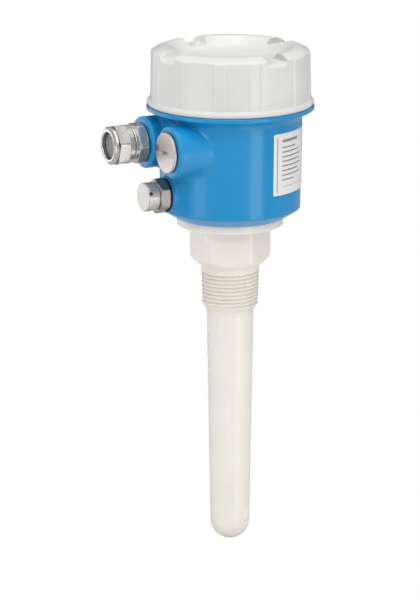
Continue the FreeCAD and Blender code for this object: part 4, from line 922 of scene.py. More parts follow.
def rib_height(offset):
    """How far each column stands out, by its distance along the wall to the nearest rib."""
    in_quarter = np.degrees(np.abs(offset))
    apart = np.minimum(np.abs(in_quarter - RIB_ANGLE), np.abs(in_quarter - MIDWAY))
    to_rib = np.radians(apart) * SIDE_RADIUS
    return RIB_PROUD * (1.0 - ramp(to_rib, RIB_HALF - RIB_SOFT, RIB_HALF + RIB_SOFT))


def fanned(offset, held):
    """Angles of columns that keep their distance from the notch's axis, and spread out past the notch."""
    limit = np.arcsin(NOTCH_REACH / SIDE_RADIUS)
    distance = SIDE_RADIUS * np.sin(np.clip(offset, -limit, limit))[None]
    inside = np.arcsin(np.clip(distance / held, -1.0, 1.0))
    share = np.clip((np.abs(offset) - limit) / (0.5 * QUARTER - limit), 0.0, 1.0)[None]
    return inside + np.sign(offset)[None] * share * (0.5 * QUARTER - np.abs(inside))


def notched(height, radius, distance):
    """The section's height with a notch: floor, quarter-round fillet, wall, then a quarter-round edge.

    The floor's outer lip falls as a quarter circle too. Where the section is already lower, it stays.
    """
    past_lip = np.clip(radius - (SIDE_RADIUS - NOTCH_LIP), 0.0, NOTCH_LIP)
    floor = NOTCH_LEVEL - NOTCH_LIP + np.sqrt(NOTCH_LIP**2 - past_lip**2)
    into_corner = np.clip(distance - (NOTCH_HALF - NOTCH_CORNER), 0.0, NOTCH_CORNER)
    low = floor + NOTCH_CORNER - np.sqrt(NOTCH_CORNER**2 - into_corner**2)
    up_wall = np.clip((distance - NOTCH_HALF) / NOTCH_DRAFT, 0.0, 1.0)
    to_edge = np.clip(NOTCH_REACH - distance, 0.0, NOTCH_EDGE)
    fall = (NOTCH_EDGE - np.sqrt(NOTCH_EDGE**2 - to_edge**2)) * ramp(height - floor, 0.0, 2.0 * NOTCH_EDGE)
    return np.minimum(height, low + (height - fall - low) * up_wall)


def smoothed(values, width):
    """A weighted running mean along the rows: bell-shaped weights, with the end rows held."""
    reach = int(3 * width)
    weights = np.exp(-0.5 * (np.arange(-reach, reach + 1) / width) ** 2)
    weights /= weights.sum()
    padded = np.concatenate([np.repeat(values[:1], reach, 0), values, np.repeat(values[-1:], reach, 0)])
    count = len(values)
    return sum(weight * padded[shift:shift + count] for shift, weight in enumerate(weights))


def picked_rows(radius, height):
    """Row numbers, closer together where a section bends: equal shares of length plus turning."""
    step = np.diff(np.stack([radius, height], axis=1), axis=0)
    heading = np.unwrap(np.arctan2(step[:, 1], step[:, 0]))
    cost = np.linalg.norm(step, axis=1) / ROW_LENGTH
    cost[1:] += BEND_WEIGHT * np.abs(np.diff(heading))
    total = np.concatenate([[0.0], np.cumsum(cost)])
    shares = np.linspace(0.0, total[-1], int(total[-1]) + 2)
    return np.unique(np.searchsorted(total, shares).clip(0, len(radius) - 1))


def lid():
    """Ribs add to the radius, notches lower the height, and the rows are then smoothed and thinned."""
    section = lid_section()
    from_notch = np.radians(lid_columns())
    nearest = np.round(from_notch / QUARTER) * QUARTER
    offset = from_notch - nearest
    radius = np.repeat(section[:, :1], len(offset), axis=1)
    height = np.repeat(section[:, 1:2], len(offset), axis=1)
    ribbed = ramp(height, BEAD_TOP - 0.2, BEAD_TOP + 0.8) * (1.0 - ramp(height, *RIB_FADE))
    radius = radius + rib_height(offset)[None] * ribbed * (radius > RIB_INSIDE)
    held = np.clip(radius, DISH_RADIUS, SIDE_RADIUS)
    angle = fanned(offset, held)
    height = notched(height, held, np.abs(held * np.sin(angle)))
    radius, height = smoothed(radius, SMOOTH_ROWS), smoothed(height, SMOOTH_ROWS)
    # Only the rows that the section through a notch or the plain one between two notches needs
    plain = len(offset) // 8
    rows = np.union1d(picked_rows(radius[:, 0], height[:, 0]),
                      picked_rows(radius[:, plain], height[:, plain]))
    radius, height, angle = radius[rows], height[rows], (angle + nearest[None])[rows]
    inner = lid_inside()
    radius = np.concatenate([np.repeat(inner[:, :1], len(offset), 1), radius])
    height = np.concatenate([np.repeat(inner[:, 1:2], len(offset), 1), height])
    angle = np.concatenate([np.repeat(angle[:1], len(inner), 0), angle]) + np.radians(LID_CLOCK)
    radius[-1] = 0.0
    points = upright(radius, height, angle)
    return mesh_from("lid", points, *grid_faces(*points.shape[:2], low_pole=True, high_pole=True))


def notch_painted_shade(east, north, height):
    """Painted shade on the notches' walls, darker on the lid's front right than on its back left."""
    turn = np.arctan2(north, east) - np.radians(LID_CLOCK)
    offset = turn - np.round(turn / QUARTER) * QUARTER
    distance = np.hypot(east, north) * np.abs(np.sin(offset))
    wall = ramp(distance, NOTCH_HALF - 1.3, NOTCH_HALF - 0.3)
    wall = wall * (1.0 - ramp(distance, NOTCH_HALF + 0.4, NOTCH_REACH))
    # More painted shade on the front right notches than on the back left ones.
    side = ramp(0.88 * east - 0.47 * north, -12.0, 12.0)
    return wall * ramp(height, NOTCH_LEVEL + 0.3, NOTCH_LEVEL + 1.6) * NOTCH_SHADE * side


add_piece("screw_lid", mark_painted_shade(lid(), notch_painted_shade), "lid_body", "lid", PALE)

# %% [markdown]
# ## The cable gland
#
# The gland is turned from hexagon bar: a body screwed into the boss, and a cap nut with a conical nose
# that squeezes a rubber sleeve round the cable. A round collar on each meets the other between their
# flats, so the neck's thread shows only when the nut is backed off. Until a cable is fitted, a thin
# skin closes the sleeve, which is the plain grey disc in the mouth.

# %% Cable gland
FITTING_COLUMNS = 144
FITTING_EDGES = 36.0
FITTING_CREASE = 30.0
FINE_STEP = 0.22
FINE_PITCH = 1.5
CORNER_RADIUS = 12.8
GLAND_SEAT = BOSS_FACE + 0.7
GLAND_HEX_END = GLAND_SEAT + 6.0
NECK_END = GLAND_HEX_END + 9.1
NUT_BACK = GLAND_HEX_END + 2.5
NUT_LIP = NECK_END + 3.5
NUT_FRONT = NUT_LIP + 2.9
NUT_NOSE = NUT_FRONT - 2.3
NUT_COLLAR = NUT_BACK + 3.2
NUT_MOUTH = 7.75
GLAND_HEX = (11.0, 31.0)
CAP_HEX = (11.0, 42.0)


def fitting(name, outline, axis, hexagons=(), grooves=(), start=0.0, ring=True):
    """A turned piece whose radius is the soft lesser with a hexagon in some rows, less a thread in others.

    A hexagon is (apothem and clock), low, high and the least radius of its rows. A groove is low, high,
    the least and the most radius of its rows, and a depth.
    """
    angle = np.radians(start) + TURN * np.arange(FITTING_COLUMNS) / FITTING_COLUMNS
    turned, reach = outline[:, :1], outline[:, 1:2]
    radius = np.repeat(turned, FITTING_COLUMNS, axis=1)
    for (apothem, clock), low, high, least in hexagons:
        rows = (reach > low) & (reach < high) & (turned > least)
        flats = hexagon(apothem, clock, angle, FITTING_EDGES)[None]
        radius = np.where(rows, soft_least(radius, flats), radius)
    for low, high, least, most, depth in grooves:
        rows = (turned > least) & (turned < most)
        fade = ramp(reach, low, low + FINE_PITCH) * (1.0 - ramp(reach, high - FINE_PITCH, high)) * rows
        radius = radius - depth * fade * groove(reach, angle[None], FINE_PITCH)
    points = about(axis)(radius, reach, angle[None])
    return mesh_from(name, points, *grid_faces(*points.shape[:2], ring=ring, **poles(outline, ring)))


def gland_body():
    """Thread for the boss, hexagon with turned chamfers, collar, neck thread, seat and wire bore."""
    foot, collar, seat = GLAND_SEAT - 9.0, NUT_BACK - 0.3, NECK_END - 8.0
    outline = filled(rounded([
        (6.4, foot), (9.9, foot, 0.6), (9.9, GLAND_SEAT), (10.9, GLAND_SEAT),
        (CORNER_RADIUS, GLAND_SEAT + 0.9, 0.2), (CORNER_RADIUS, GLAND_HEX_END - 0.6, 0.2),
        (11.0, GLAND_HEX_END, 0.15), (11.0, collar, 0.4), (9.2, collar), (9.2, NECK_END, 0.4),
        (7.7, NECK_END, 0.2), (7.7, seat), (6.4, seat)], loop=True), FINE_STEP, loop=True)
    flats = (GLAND_HEX, GLAND_SEAT - 0.01, GLAND_HEX_END + 0.01, 10.5)
    neck_thread = (GLAND_HEX_END - 0.3, NECK_END + 0.2, 9.0, 9.3, 0.5)
    boss_thread = (foot - 1.5, GLAND_SEAT + 1.0, 9.5, 9.95, 0.6)
    return fitting("gland_body", outline, GLAND_AXIS, [flats], [neck_thread, boss_thread],
                   start=GLAND_HEX[1])


def cap_nut():
    """Inner thread, a round collar, the hexagon, a conical nose, and a mouth with a rounded lip."""
    collar = [(9.5, NUT_BACK), (11.2, NUT_BACK, 0.4), (11.2, NUT_COLLAR, 0.15)]
    corner = [(CORNER_RADIUS, NUT_COLLAR + 0.5, 0.15), (CORNER_RADIUS, NUT_NOSE - 0.8, 0.15)]
    nose = [tuple(spot) for spot in bulge((11.0, NUT_NOSE), (8.9, NUT_FRONT), 2.6, 10)]
    mouth = [(NUT_MOUTH, NUT_FRONT, 0.8), (NUT_MOUTH, NUT_LIP), (9.5, NUT_LIP)]
    outline = filled(rounded(collar + corner + nose + mouth, loop=True), FINE_STEP, loop=True)
    flats = (CAP_HEX, NUT_COLLAR - 0.01, NUT_NOSE + 0.01, 10.5)
    thread = (NUT_BACK - 0.5, NUT_LIP + 0.1, 9.45, 9.55, -0.25)
    return fitting("cap_nut", outline, GLAND_AXIS, [flats], [thread], start=CAP_HEX[1])


def nut_painted_reflection_and_shade(east, north, height):
    """A painted dark reflection along the front edge of the flats, and painted shade in the mouth."""
    radius = np.hypot(north - GLAND_AXIS[0], height - GLAND_AXIS[1])
    reach = -east
    crease = np.exp(-(((reach - NUT_NOSE + 0.15) / 0.38) ** 2)) * (radius > 10.6)
    inside = 0.6 * (radius < NUT_MOUTH + 0.1) * (reach < NUT_FRONT - 0.7)
    return 0.85 * np.maximum(crease, inside)


def gland_seal():
    """The sleeve's outside, closed in the mouth by a thin skin a little behind the nose."""
    foot, collar = NECK_END - 7.9, NECK_END + 0.1
    face = collar + 2.4
    outline = filled(rounded([
        (0.0, face + 0.3), (4.5, face + 0.3, 0.3), (4.5, foot), (7.6, foot, 0.3), (7.6, collar),
        (8.8, collar, 0.2), (8.8, face, 0.2), (7.4, face, 0.2), (7.4, face + 1.1, 0.4),
        (6.5, face + 1.1, 0.3), (6.2, face + 0.7, 0.3), (0.0, face + 0.7)]), 0.8)
    return spun("gland_seal", outline, 96, about(GLAND_AXIS))


def washer(name, axis, inner, outer, low, high, soft=0.25):
    """A flat ring with soft corners."""
    corners = [(*corner, soft) for corner in ((inner, low), (outer, low), (outer, high), (inner, high))]
    return spun(name, filled(rounded(corners, loop=True), 1.2, loop=True), 96, about(axis), ring=True)


add_piece("gland_body_turned", gland_body(), "housing_body", "gland_body", NICKEL["gland_body"],
          FITTING_CREASE)
add_piece("gland_nut_turned", mark_painted_shade(cap_nut(), nut_painted_reflection_and_shade), "gland_nut_body", "gland_cap_nut",
          NICKEL["gland"], FITTING_CREASE)
add_piece("gland_sleeve", gland_seal(), "housing_body", "gland_seal", GREY_RUBBER)
gland_ring = washer("gland_gasket", GLAND_AXIS, ENTRY_BORE, 10.8, BOSS_FACE, GLAND_SEAT, soft=0.15)
add_piece("gland_flat_ring", gland_ring, "housing_body", "gland_gasket", BLACK_RUBBER)

# %% [markdown]
# ## The blanking plug
#
# A flat nickel disc with a shallow driver slot closes the second entry. A disc spun round its axis has
# no columns along a slot, so this one is built in slices like a loaf: each slice is a chord of the disc,
# and its section runs up the rim, across the face and down again. Slices in the slot are lower.

# %% Blanking plug
PLUG_RADIUS = 11.75
PLUG_SEAT = BOSS_FACE + 0.9
PLUG_FACE = PLUG_SEAT + 1.3
PLUG_EDGE = 0.5
SLOT_HALF = 1.0
SLOT_SOFT = 0.6
SLOT_DEPTH = 0.45
SHANK_RADIUS = 9.7


def plug_head():
    """Slices across the slot: the face falls at the rim as an arc, and in the slot by a soft step."""
    turns = np.linspace(-0.5 * np.pi, 0.5 * np.pi, 74)[1:-1]
    steps = SLOT_HALF + np.array([-0.7, -0.4, -0.2, 0.0, 0.2, 0.4, 0.7])
    across = np.unique(np.concatenate([PLUG_RADIUS * np.sin(turns), steps, -steps]))[:, None]
    chord = np.sqrt(PLUG_RADIUS**2 - across**2)
    share = np.sin(np.linspace(-0.5 * np.pi, 0.5 * np.pi, 61))[None]
    along = chord * share
    out = np.clip(np.sqrt(along**2 + across**2) - (PLUG_RADIUS - PLUG_EDGE), 0.0, PLUG_EDGE)
    face = PLUG_FACE - PLUG_EDGE + np.sqrt(np.maximum(PLUG_EDGE**2 - out**2, 0.0))
    slot = 1.0 - ramp(np.abs(across), SLOT_HALF - SLOT_SOFT, SLOT_HALF + SLOT_SOFT)
    face = np.maximum(face - SLOT_DEPTH * slot, PLUG_SEAT + 0.3)
    rim = np.linspace(PLUG_SEAT, face[:, 0], 4, axis=1)[:, :-1]
    along = np.concatenate([np.repeat(along[:, :1], 3, 1), along, np.repeat(along[:, -1:], 3, 1)], axis=1)
    reach = np.concatenate([rim, face, rim[:, ::-1]], axis=1)
    points = point_grid(-reach, PLUG_AXIS[0] - along, PLUG_AXIS[1] + across)
    return mesh_from("plug_head", points, *grid_faces(*points.shape[:2]))


def close_ends(mesh):
    """Fill the open end slices and let Blender point all faces outwards."""
    work = bmesh.new()
    work.from_mesh(mesh)
    bmesh.ops.holes_fill(work, edges=work.edges, sides=0)
    bmesh.ops.recalc_face_normals(work, faces=work.faces)
    work.to_mesh(mesh)
    work.free()
    return mesh


def blanking_plug():
    """The slotted head and its threaded shank, joined."""
    foot, root = PLUG_SEAT - 8.0, PLUG_SEAT + 0.2
    outline = filled(rounded([
        (0.0, foot), (SHANK_RADIUS, foot, 0.8), (SHANK_RADIUS, root), (0.0, root)]), 0.3)
    thread = (foot - 0.4, PLUG_SEAT, SHANK_RADIUS - 0.1, SHANK_RADIUS + 0.05, 0.6)
    shank = fitting("plug_shank", outline, PLUG_AXIS, grooves=[thread], ring=False)
    return merged(close_ends(plug_head()), [shank], "UNION")


def slot_painted_shade(east, north, height):
    """Painted shade in the slot: at its end by the gland and near its middle."""
    along, across = north - PLUG_AXIS[0], height - PLUG_AXIS[1]
    at_end = np.exp(-((along - 10.0) / 1.7) ** 2 - ((across - 1.6) / 2.2) ** 2)
    at_middle = np.exp(-((along - 0.9) / 2.6) ** 2 - (across / 1.0) ** 2)
    return 0.85 * np.clip(at_end + at_middle, 0.0, 1.0) * (east < -PLUG_SEAT - 0.2)


add_piece("plug_turned", mark_painted_shade(blanking_plug(), slot_painted_shade), "plug_body", "blanking_plug",
          NICKEL["plug"], FITTING_CREASE)
plug_ring = washer("blanking_plug_seal", PLUG_AXIS, ENTRY_BORE, 11.3, BOSS_FACE, PLUG_SEAT)
add_piece("plug_ring", plug_ring, "plug_seal_body", "blanking_plug_seal", BLACK_RUBBER)

# %% [markdown]
# ## The vent plug
#
# The vent lets the housing breathe through a membrane: a hexagon base on a black ring, and a round
# head with a flat face and small holes in its side. The holes are drilled with a Boolean, because a
# spun grid has no rows round a hole in its side.

# %% Vent plug
VENT_SEAT = PAD_FACE + 1.0
VENT_HEX_END = VENT_SEAT + 6.3
VENT_FRONT = VENT_HEX_END + 7.1
VENT_HOLE = VENT_HEX_END + 5.7
VENT_HEX = (9.1, 60.0)
HEAD_RADIUS, HEAD_BORE, HEAD_WALL = 8.3, 6.9, 0.9
HOLE_RADIUS = 1.15
HOLE_LENGTH = 10.0
HOLE_TURNS = (24.0, 114.0)


def vent_body():
    """Thread, hexagon with turned chamfers and the air bore."""
    foot = VENT_SEAT - 5.4
    outline = filled(rounded([
        (2.5, foot), (5.9, foot, 0.5), (5.9, VENT_SEAT), (9.0, VENT_SEAT), (10.6, VENT_SEAT + 0.8, 0.2),
        (10.6, VENT_HEX_END - 0.8, 0.2), (9.0, VENT_HEX_END), (2.5, VENT_HEX_END)], loop=True),
        FINE_STEP, loop=True)
    flats = (VENT_HEX, VENT_SEAT - 0.01, VENT_HEX_END + 0.01, 8.6)
    thread = (foot - 0.5, VENT_SEAT + 0.6, 5.8, 5.95, 0.5)
    return fitting("vent_body", outline, VENT_AXIS, [flats], [thread], start=VENT_HEX[1])


def along_spoke(radius, height, angle, turn):
    """Points about a line that crosses the vent's axis at right angles, at a turn in degrees from up."""
    level, side = np.cos(np.radians(turn)), np.sin(np.radians(turn))
    across = radius * np.cos(angle)
    return point_grid(-(VENT_HOLE + radius * np.sin(angle)), VENT_AXIS[0] + height * side + across * level,
                      VENT_AXIS[1] + height * level - across * side)


def vent_head():
    """The round cup with a soft front edge, less two drills that cross it."""
    inside = np.array([(0.0, VENT_FRONT - HEAD_WALL), (HEAD_BORE, VENT_FRONT - HEAD_WALL)])
    outside = filled(rounded([
        (HEAD_BORE, VENT_HEX_END), (HEAD_RADIUS, VENT_HEX_END, 0.3), (HEAD_RADIUS, VENT_FRONT, 0.6),
        (0.0, VENT_FRONT)]), 0.8)
    cup = spun("vent_cup", np.concatenate([inside, outside]), 128, about(VENT_AXIS))
    drill_outline = np.array([(0.0, -HOLE_LENGTH), (HOLE_RADIUS, -HOLE_LENGTH), (HOLE_RADIUS, HOLE_LENGTH),
                              (0.0, HOLE_LENGTH)])
    drills = [spun("vent_drill", drill_outline, 32, partial(along_spoke, turn=turn)) for turn in HOLE_TURNS]
    return merged(cup, drills, "DIFFERENCE")


add_piece("vent_base", vent_body(), "housing_body", "vent_body", NICKEL["vent_base"],
          FITTING_CREASE)
add_piece("vent_head", vent_head(), "housing_body", "vent_cap", NICKEL["vent"], FITTING_CREASE)
vent_ring = washer("vent_gasket", VENT_AXIS, VENT_BORE, 9.9, PAD_FACE, VENT_SEAT)
add_piece("vent_ring", vent_ring, "housing_body", "vent_gasket", BLACK_RUBBER)

# %% [markdown]
# ## The nameplate
#
# A pale foil plate with rounded corners wraps part of the wall. It carries a thin rule near its left
# edge and rows of plain grey bars. The plate is a grid over its angle and height whose ends draw in at
# the corners, and its map runs from 0 to 1 both ways, so the bars can be placed on it.

# %% Nameplate
PLATE_LOW, PLATE_HIGH = 60.6, 96.7
PLATE_LEFT, PLATE_RIGHT = -81.3, 6.7
PLATE_CORNER = 0.8
GLUE_GAP, FOIL_THICK = 0.08, 0.25
RULES = [(0.035, 0.045, 0.06, 0.94), (0.10, 0.34, 0.855, 0.90), (0.10, 0.90, 0.13, 0.137)]
LINE_STARTS = (0.10, 0.55)
LINE_ENDS = [(0.30, 0.86), (0.38, 0.82), (0.42, 0.90), (0.40, 0.84),
             (0.43, 0.88), (0.36, 0.80), (0.41, 0.86), (0.28, 0.78)]
LINE_TOP, LINE_STEP, LINE_HEIGHT = 0.76, 0.075, 0.022


def plate_mesh():
    """Half-width less the corner's draw-in, times the share across; the front stands off the wall."""
    tall = PLATE_HIGH - PLATE_LOW
    up = 0.5 - 0.5 * np.cos(np.linspace(0.0, np.pi, 60))
    level = (PLATE_LOW + tall * up)[:, None]
    from_end = np.minimum(up, 1.0 - up)[:, None] * tall
    missing = PLATE_CORNER - np.minimum(from_end, PLATE_CORNER)
    draw_in = PLATE_CORNER - np.sqrt(np.maximum(PLATE_CORNER**2 - missing**2, 0.0))
    wall = np.interp(level, WALL_HEIGHTS, WALL_RADII)
    middle = np.radians(0.5 * (PLATE_LEFT + PLATE_RIGHT))
    wide = np.radians(PLATE_RIGHT - PLATE_LEFT) * wall
    share = np.linspace(-1.0, 1.0, 121)[None]
    across = (0.5 * wide - draw_in) * share
    edge = np.minimum(0.5 * wide - draw_in - np.abs(across), from_end)
    lift = GLUE_GAP + FOIL_THICK * np.sqrt(np.clip(edge / FOIL_THICK, 0.0, 1.0))
    angle = middle + across / wall
    front = upright(wall + lift, level, angle)
    back = upright(wall + GLUE_GAP, level, angle)
    points = np.concatenate([front, back[:, ::-1]], axis=1)
    mesh = mesh_from("nameplate", points, *grid_faces(*points.shape[:2]))
    column = np.concatenate([across / wide + 0.5, (across / wide + 0.5)[:, ::-1]], axis=1)
    place = np.stack([column, np.broadcast_to(up[:, None], column.shape)], axis=-1).reshape(-1, 2)
    corners = np.empty(len(mesh.loops), np.int32)
    mesh.loops.foreach_get("vertex_index", corners)
    layer = mesh.uv_layers.new(name="plate_map")
    layer.uv.foreach_set("vector", place[corners].astype(np.float32).ravel())
    return mesh


def between(tree, value, low, high):
    """1 where a value lies between two limits, else 0."""
    over = add_node(tree, "ShaderNodeMath", {"operation": "GREATER_THAN"})
    under = add_node(tree, "ShaderNodeMath", {"operation": "LESS_THAN"})
    both = add_node(tree, "ShaderNodeMath", {"operation": "MULTIPLY"})
    over.inputs[1].default_value = low
    under.inputs[1].default_value = high
    tree.links.new(value, over.inputs[0])
    tree.links.new(value, under.inputs[0])
    tree.links.new(over.outputs["Value"], both.inputs[0])
    tree.links.new(under.outputs["Value"], both.inputs[1])
    return both.outputs["Value"]


def plate_bars():
    """The rules and the bars as (left, right, low, high) on the plate's map."""
    bars = list(RULES)
    for row, ends in enumerate(LINE_ENDS):
        level = LINE_TOP - LINE_STEP * row
        bars += [(start, end, level, level + LINE_HEIGHT) for start, end in zip(LINE_STARTS, ends)]
    return bars


def plate_finish():
    """Foil with a faint clouded tone, and rules and bars placed by the plate's own map."""
    material, tree, shader, place = new_material("plate_foil")
    chart = add_node(tree, "ShaderNodeUVMap", {"uv_map": "plate_map"})
    apart = add_node(tree, "ShaderNodeSeparateXYZ")
    tree.links.new(chart.outputs["UV"], apart.inputs["Vector"])
    grain = add_grain(tree, place, 45.0, 1200.0)
    colour = mix_colours(tree, grain.outputs["Clouds"], srgb(224, 223, 222), srgb(233, 231, 230))
    for left, right, low, high in plate_bars():
        mask = add_node(tree, "ShaderNodeMath", {"operation": "MULTIPLY"})
        tree.links.new(between(tree, apart.outputs["X"], left, right), mask.inputs[0])
        tree.links.new(between(tree, apart.outputs["Y"], low, high), mask.inputs[1])
        colour = mix_colours(tree, mask.outputs["Value"], colour, srgb(128, 130, 134))
    tree.links.new(colour, shader.inputs["Base Color"])
    add_gloss(tree, shader, grain.outputs["Clouds"], (0.32, 0.42))
    bump = add_bump(tree, grain.outputs["Grain"], 0.004)
    tree.links.new(bump.outputs["Normal"], shader.inputs["Normal"])
    return material


add_piece("foil_plate", close_ends(plate_mesh()), "housing_body", "nameplate", plate_finish())

# %% [markdown]
# ## The pieces inside
#
# The electronics, the electrodes and the seals keep their CAD shapes, which are right as they are.
# Each takes the finish that the record names for its slot.

# %% Finishes for the CAD pieces that stay
SLOT_OF = {part["node"]: part["material_slot"] for part in frame["record"]["subparts"]}
dressed = 0
for node_name, thing in frame["nodes"].items():
    for slot_index in range(len(thing.material_slots)):
        thing.material_slots[slot_index].material = INSIDE[SLOT_OF[node_name]]
        dressed += 1
print("CAD pieces given a finish:", dressed)

# %% [markdown]
# ## Studio
#
# The photograph is a product shot on white. The world is white to the camera, grey in reflections, and
# an even light on everything else that falls off towards one side. The main lamp is a large soft one
# above the camera, a narrow upright one on the right draws a streak on the round faces, and a third
# hangs overhead. Pale and dark cards, and two pale shapes on the floor, are seen by reflections alone:
# they give the nickel its bands and the probe its gloss.

# %% World and floor
FLOOR_LEVEL = CAD_BOX[0][2] - 0.0004
FLOOR_WIDTH = 12.0
FLOOR_WHITENESS = 0.985
AMBIENT = 0.80
REFLECTED = 0.5
SHADED_SIDE = (0.85, 0.53, 0.0)
SHADED_SHARE = 0.6


def white_world():
    """White for the camera, one grey for reflections, and another for the light that falls on things."""
    world = bpy.data.worlds.new("white_room")
    tree = empty_tree(world)
    path = add_node(tree, "ShaderNodeLightPath")
    lit = add_node(tree, "ShaderNodeBackground")
    aim = add_node(tree, "ShaderNodeVectorMath", {"operation": "DOT_PRODUCT"})
    aim.inputs[1].default_value = SHADED_SIDE
    tree.links.new(add_node(tree, "ShaderNodeTexCoord").outputs["Generated"], aim.inputs[0])
    fade = add_node(tree, "ShaderNodeMapRange", {"interpolation_type": "SMOOTHSTEP"},
                    {"From Min": 0.0, "From Max": 1.0, "To Min": AMBIENT, "To Max": SHADED_SHARE * AMBIENT})
    tree.links.new(aim.outputs["Value"], fade.inputs["Value"])
    tree.links.new(fade.outputs["Result"], lit.inputs["Strength"])
    mirrored = add_node(tree, "ShaderNodeBackground", values={"Strength": REFLECTED})
    shown = add_node(tree, "ShaderNodeBackground", values={"Strength": 1.0})
    for light in (lit, mirrored, shown):
        light.inputs["Color"].default_value = (1.0, 1.0, 1.0, 1.0)
    unseen = add_node(tree, "ShaderNodeMixShader")
    tree.links.new(path.outputs["Is Glossy Ray"], unseen.inputs["Fac"])
    tree.links.new(lit.outputs["Background"], unseen.inputs[1])
    tree.links.new(mirrored.outputs["Background"], unseen.inputs[2])
    whole = add_node(tree, "ShaderNodeMixShader")
    tree.links.new(path.outputs["Is Camera Ray"], whole.inputs["Fac"])
    tree.links.new(unseen.outputs["Shader"], whole.inputs[1])
    tree.links.new(shown.outputs["Background"], whole.inputs[2])
    sink = add_node(tree, "ShaderNodeOutputWorld")
    tree.links.new(whole.outputs["Shader"], sink.inputs["Surface"])
    bpy.context.scene.world = world


def stage_face(name, corners):
    """A face of the stage with four corners."""
    mesh = bpy.data.meshes.new(name)
    mesh.from_pydata(np.array(corners).tolist(), [], [(0, 1, 2, 3)])
    thing = bpy.data.objects.new(name, mesh)
    bpy.context.scene.collection.objects.link(thing)
    return thing


def flat_sheet(name, middle, right, up, width, height):
    """A rectangle of the stage, spanned by two directions from its middle."""
    right, up = np.array(right, float), np.array(up, float)
    corners = [np.array(middle) + width * 0.5 * across * right + height * 0.5 * along * up
               for across, along in ((-1, -1), (1, -1), (1, 1), (-1, 1))]
    return stage_face(name, corners)


def white_floor():
    """A pale floor: mostly plain white to the eye, so that only a faint shadow stays on it."""
    middle = (0.0, 0.0, FLOOR_LEVEL)
    floor = flat_sheet("pale_floor", middle, (1, 0, 0), (0, 1, 0), FLOOR_WIDTH, FLOOR_WIDTH)
    material = bpy.data.materials.new("pale_floor")
    tree = empty_tree(material)
    path = add_node(tree, "ShaderNodeLightPath")
    matt = add_node(tree, "ShaderNodeBsdfDiffuse")
    grey = mix_colours(tree, path.outputs["Is Glossy Ray"], (0.86, 0.86, 0.86, 1.0), (0.5, 0.5, 0.5, 1.0))
    tree.links.new(grey, matt.inputs["Color"])
    glow = add_node(tree, "ShaderNodeEmission", values={"Color": (1.0, 1.0, 1.0, 1.0), "Strength": 1.0})
    share = add_node(tree, "ShaderNodeMath", {"operation": "MULTIPLY"})
    share.inputs[1].default_value = FLOOR_WHITENESS
    tree.links.new(path.outputs["Is Camera Ray"], share.inputs[0])
    mix = add_node(tree, "ShaderNodeMixShader")
    sink = add_node(tree, "ShaderNodeOutputMaterial")
    tree.links.new(share.outputs["Value"], mix.inputs["Fac"])
    tree.links.new(matt.outputs["BSDF"], mix.inputs[1])
    tree.links.new(glow.outputs["Emission"], mix.inputs[2])
    tree.links.new(mix.outputs["Shader"], sink.inputs["Surface"])
    floor.data.materials.append(material)


white_world()
white_floor()
print("floor at", round(FLOOR_LEVEL, 4), "m")

# %% Lamps, and cards for the reflections
# Azimuth and elevation in degrees, then distance, width and height in metres and the power in watts
LAMPS = {
    "main_lamp": (-22.0, 45.0, 1.6, 1.0, 1.0, 7.0),
    "side_lamp": (45.0, 8.0, 1.6, 0.14, 1.3, 1.0),
    "top_lamp": (-20.0, 85.0, 1.6, 1.0, 1.0, 8.0),
}
# The same, with the brightness of the glow in place of the power
CARDS = {
    "pale_card_behind": (-150.0, -4.0, 0.6, 0.5, 0.5, 1.4),
    "dark_card_behind": (150.0, 0.0, 1.0, 0.9, 0.9, 0.02),
    "dark_card_right": (34.0, -6.0, 0.6, 0.16, 0.3, 0.12),
    "dark_card_left": (-104.0, -6.0, 0.7, 0.2, 0.4, 0.03),
    "pale_card_right": (13.0, -3.0, 0.6, 0.2, 0.24, 2.6),
    "pale_card_left": (-78.0, -3.0, 0.6, 0.24, 0.24, 1.9),
}
WEDGE_AZIMUTH, WEDGE_HALF = 13.0, 5.0
WEDGE_NEAR, WEDGE_FAR = 0.05, 0.64
WEDGE_GLOW = 3.2
PATCH_MIDDLE = (0.15, -0.32, FLOOR_LEVEL + 0.002)
PATCH_RIGHT, PATCH_UP = (0.4, -0.9, 0.0), (0.9, 0.4, 0.0)
PATCH_WIDTH, PATCH_HEIGHT = 0.24, 0.3
PATCH_GLOW = 1.1


def facing(side, lift):
    """Directions back and to the right, for something at a side and a lift that looks at the object."""
    back = np.array([np.sin(side) * np.cos(lift), -np.cos(side) * np.cos(lift), np.sin(lift)])
    right = np.array([np.cos(side), np.sin(side), 0.0])
    return back, right


def soft_lamp(name, azimuth, elevation, distance, width, height, power):
    """A rectangular lamp on a sphere round the origin, facing it."""
    side, lift = np.radians(azimuth), np.radians(elevation)
    back, _ = facing(side, lift)
    lamp = bpy.data.lights.new(name, "AREA")
    lamp.shape = "RECTANGLE"
    lamp.size, lamp.size_y = width, height
    lamp.energy = power
    thing = bpy.data.objects.new(name, lamp)
    thing.location = back * distance
    thing.rotation_euler = (0.5 * np.pi - lift, 0.0, side)
    bpy.context.scene.collection.objects.link(thing)


def only_mirrored(thing, glow_level):
    """Give a thing of the stage a plain glow that nothing but reflections can see."""
    material = bpy.data.materials.new(thing.name)
    tree = empty_tree(material)
    colour = (glow_level, glow_level, glow_level, 1.0)
    glow = add_node(tree, "ShaderNodeEmission", values={"Color": colour, "Strength": 1.0})
    sink = add_node(tree, "ShaderNodeOutputMaterial")
    tree.links.new(glow.outputs["Emission"], sink.inputs["Surface"])
    thing.data.materials.append(material)
    thing.visible_camera = False
    thing.visible_diffuse = False
    thing.visible_shadow = False
    thing.visible_transmission = False


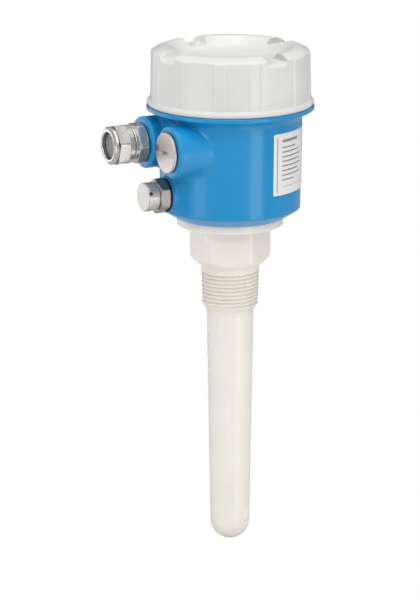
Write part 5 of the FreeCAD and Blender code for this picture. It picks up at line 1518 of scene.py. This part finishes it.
def mirror_card(name, azimuth, elevation, distance, width, height, glow_level):
    """A card that faces the object from a direction, so that polished faces have something to show."""
    back, right = facing(np.radians(azimuth), np.radians(elevation))
    card = flat_sheet(name, back * distance, right, np.cross(back, right), width, height)
    only_mirrored(card, glow_level)


def floor_wedge():
    """A glowing wedge on the floor that points at the probe, so that it shows as one band along the rod."""
    first, second = np.radians([WEDGE_AZIMUTH - WEDGE_HALF, WEDGE_AZIMUTH + WEDGE_HALF])
    corners = [(reach * np.sin(side), -reach * np.cos(side), FLOOR_LEVEL + 0.001)
               for side, reach in ((first, WEDGE_NEAR), (first, WEDGE_FAR), (second, WEDGE_FAR),
                                   (second, WEDGE_NEAR))]
    only_mirrored(stage_face("pale_wedge", corners), WEDGE_GLOW)


for lamp_name, settings in LAMPS.items():
    soft_lamp(lamp_name, *settings)
for card_name, settings in CARDS.items():
    mirror_card(card_name, *settings)
floor_wedge()
patch = flat_sheet("pale_patch", PATCH_MIDDLE, PATCH_RIGHT, PATCH_UP, PATCH_WIDTH, PATCH_HEIGHT)
only_mirrored(patch, PATCH_GLOW)

# %% [markdown]
# ## Camera
#
# The picture was taken from the left front with a long lens, a little from above. The camera keeps the
# object's axis a little right of the middle, as the photograph does.

# %% Camera
AZIMUTH, PITCH = np.radians(-28.0), np.radians(14.1)
DISTANCE = 2.11
SENSOR_WIDTH = 36.0
FOCAL_PIXELS = 3600.0
FRAME_HEIGHT_PIXELS = 600.0
AIM_LEVEL = -8.6 * MM
AXIS_OFFSET_PIXELS = 20.1


def place_camera():
    """Back along the viewing direction from the aim point, and to the left by the axis's offset."""
    back, right = facing(AZIMUTH, PITCH)
    lens = bpy.data.cameras.new("camera")
    lens.sensor_width = SENSOR_WIDTH
    lens.lens = FOCAL_PIXELS * SENSOR_WIDTH / FRAME_HEIGHT_PIXELS
    lens.dof.use_dof = False
    camera = bpy.data.objects.new("camera", lens)
    aim = np.array([0.0, 0.0, AIM_LEVEL])
    offset = right * AXIS_OFFSET_PIXELS * DISTANCE / FOCAL_PIXELS
    camera.location = aim + back * DISTANCE - offset
    camera.rotation_euler = (0.5 * np.pi - PITCH, 0.0, AZIMUTH)
    bpy.context.scene.collection.objects.link(camera)
    bpy.context.scene.camera = camera
    print("camera at", np.round(np.array(camera.location), 3).tolist())
    print("lens:", round(lens.lens, 1), "mm")


place_camera()
bpy.context.scene.view_settings.view_transform = "Standard"
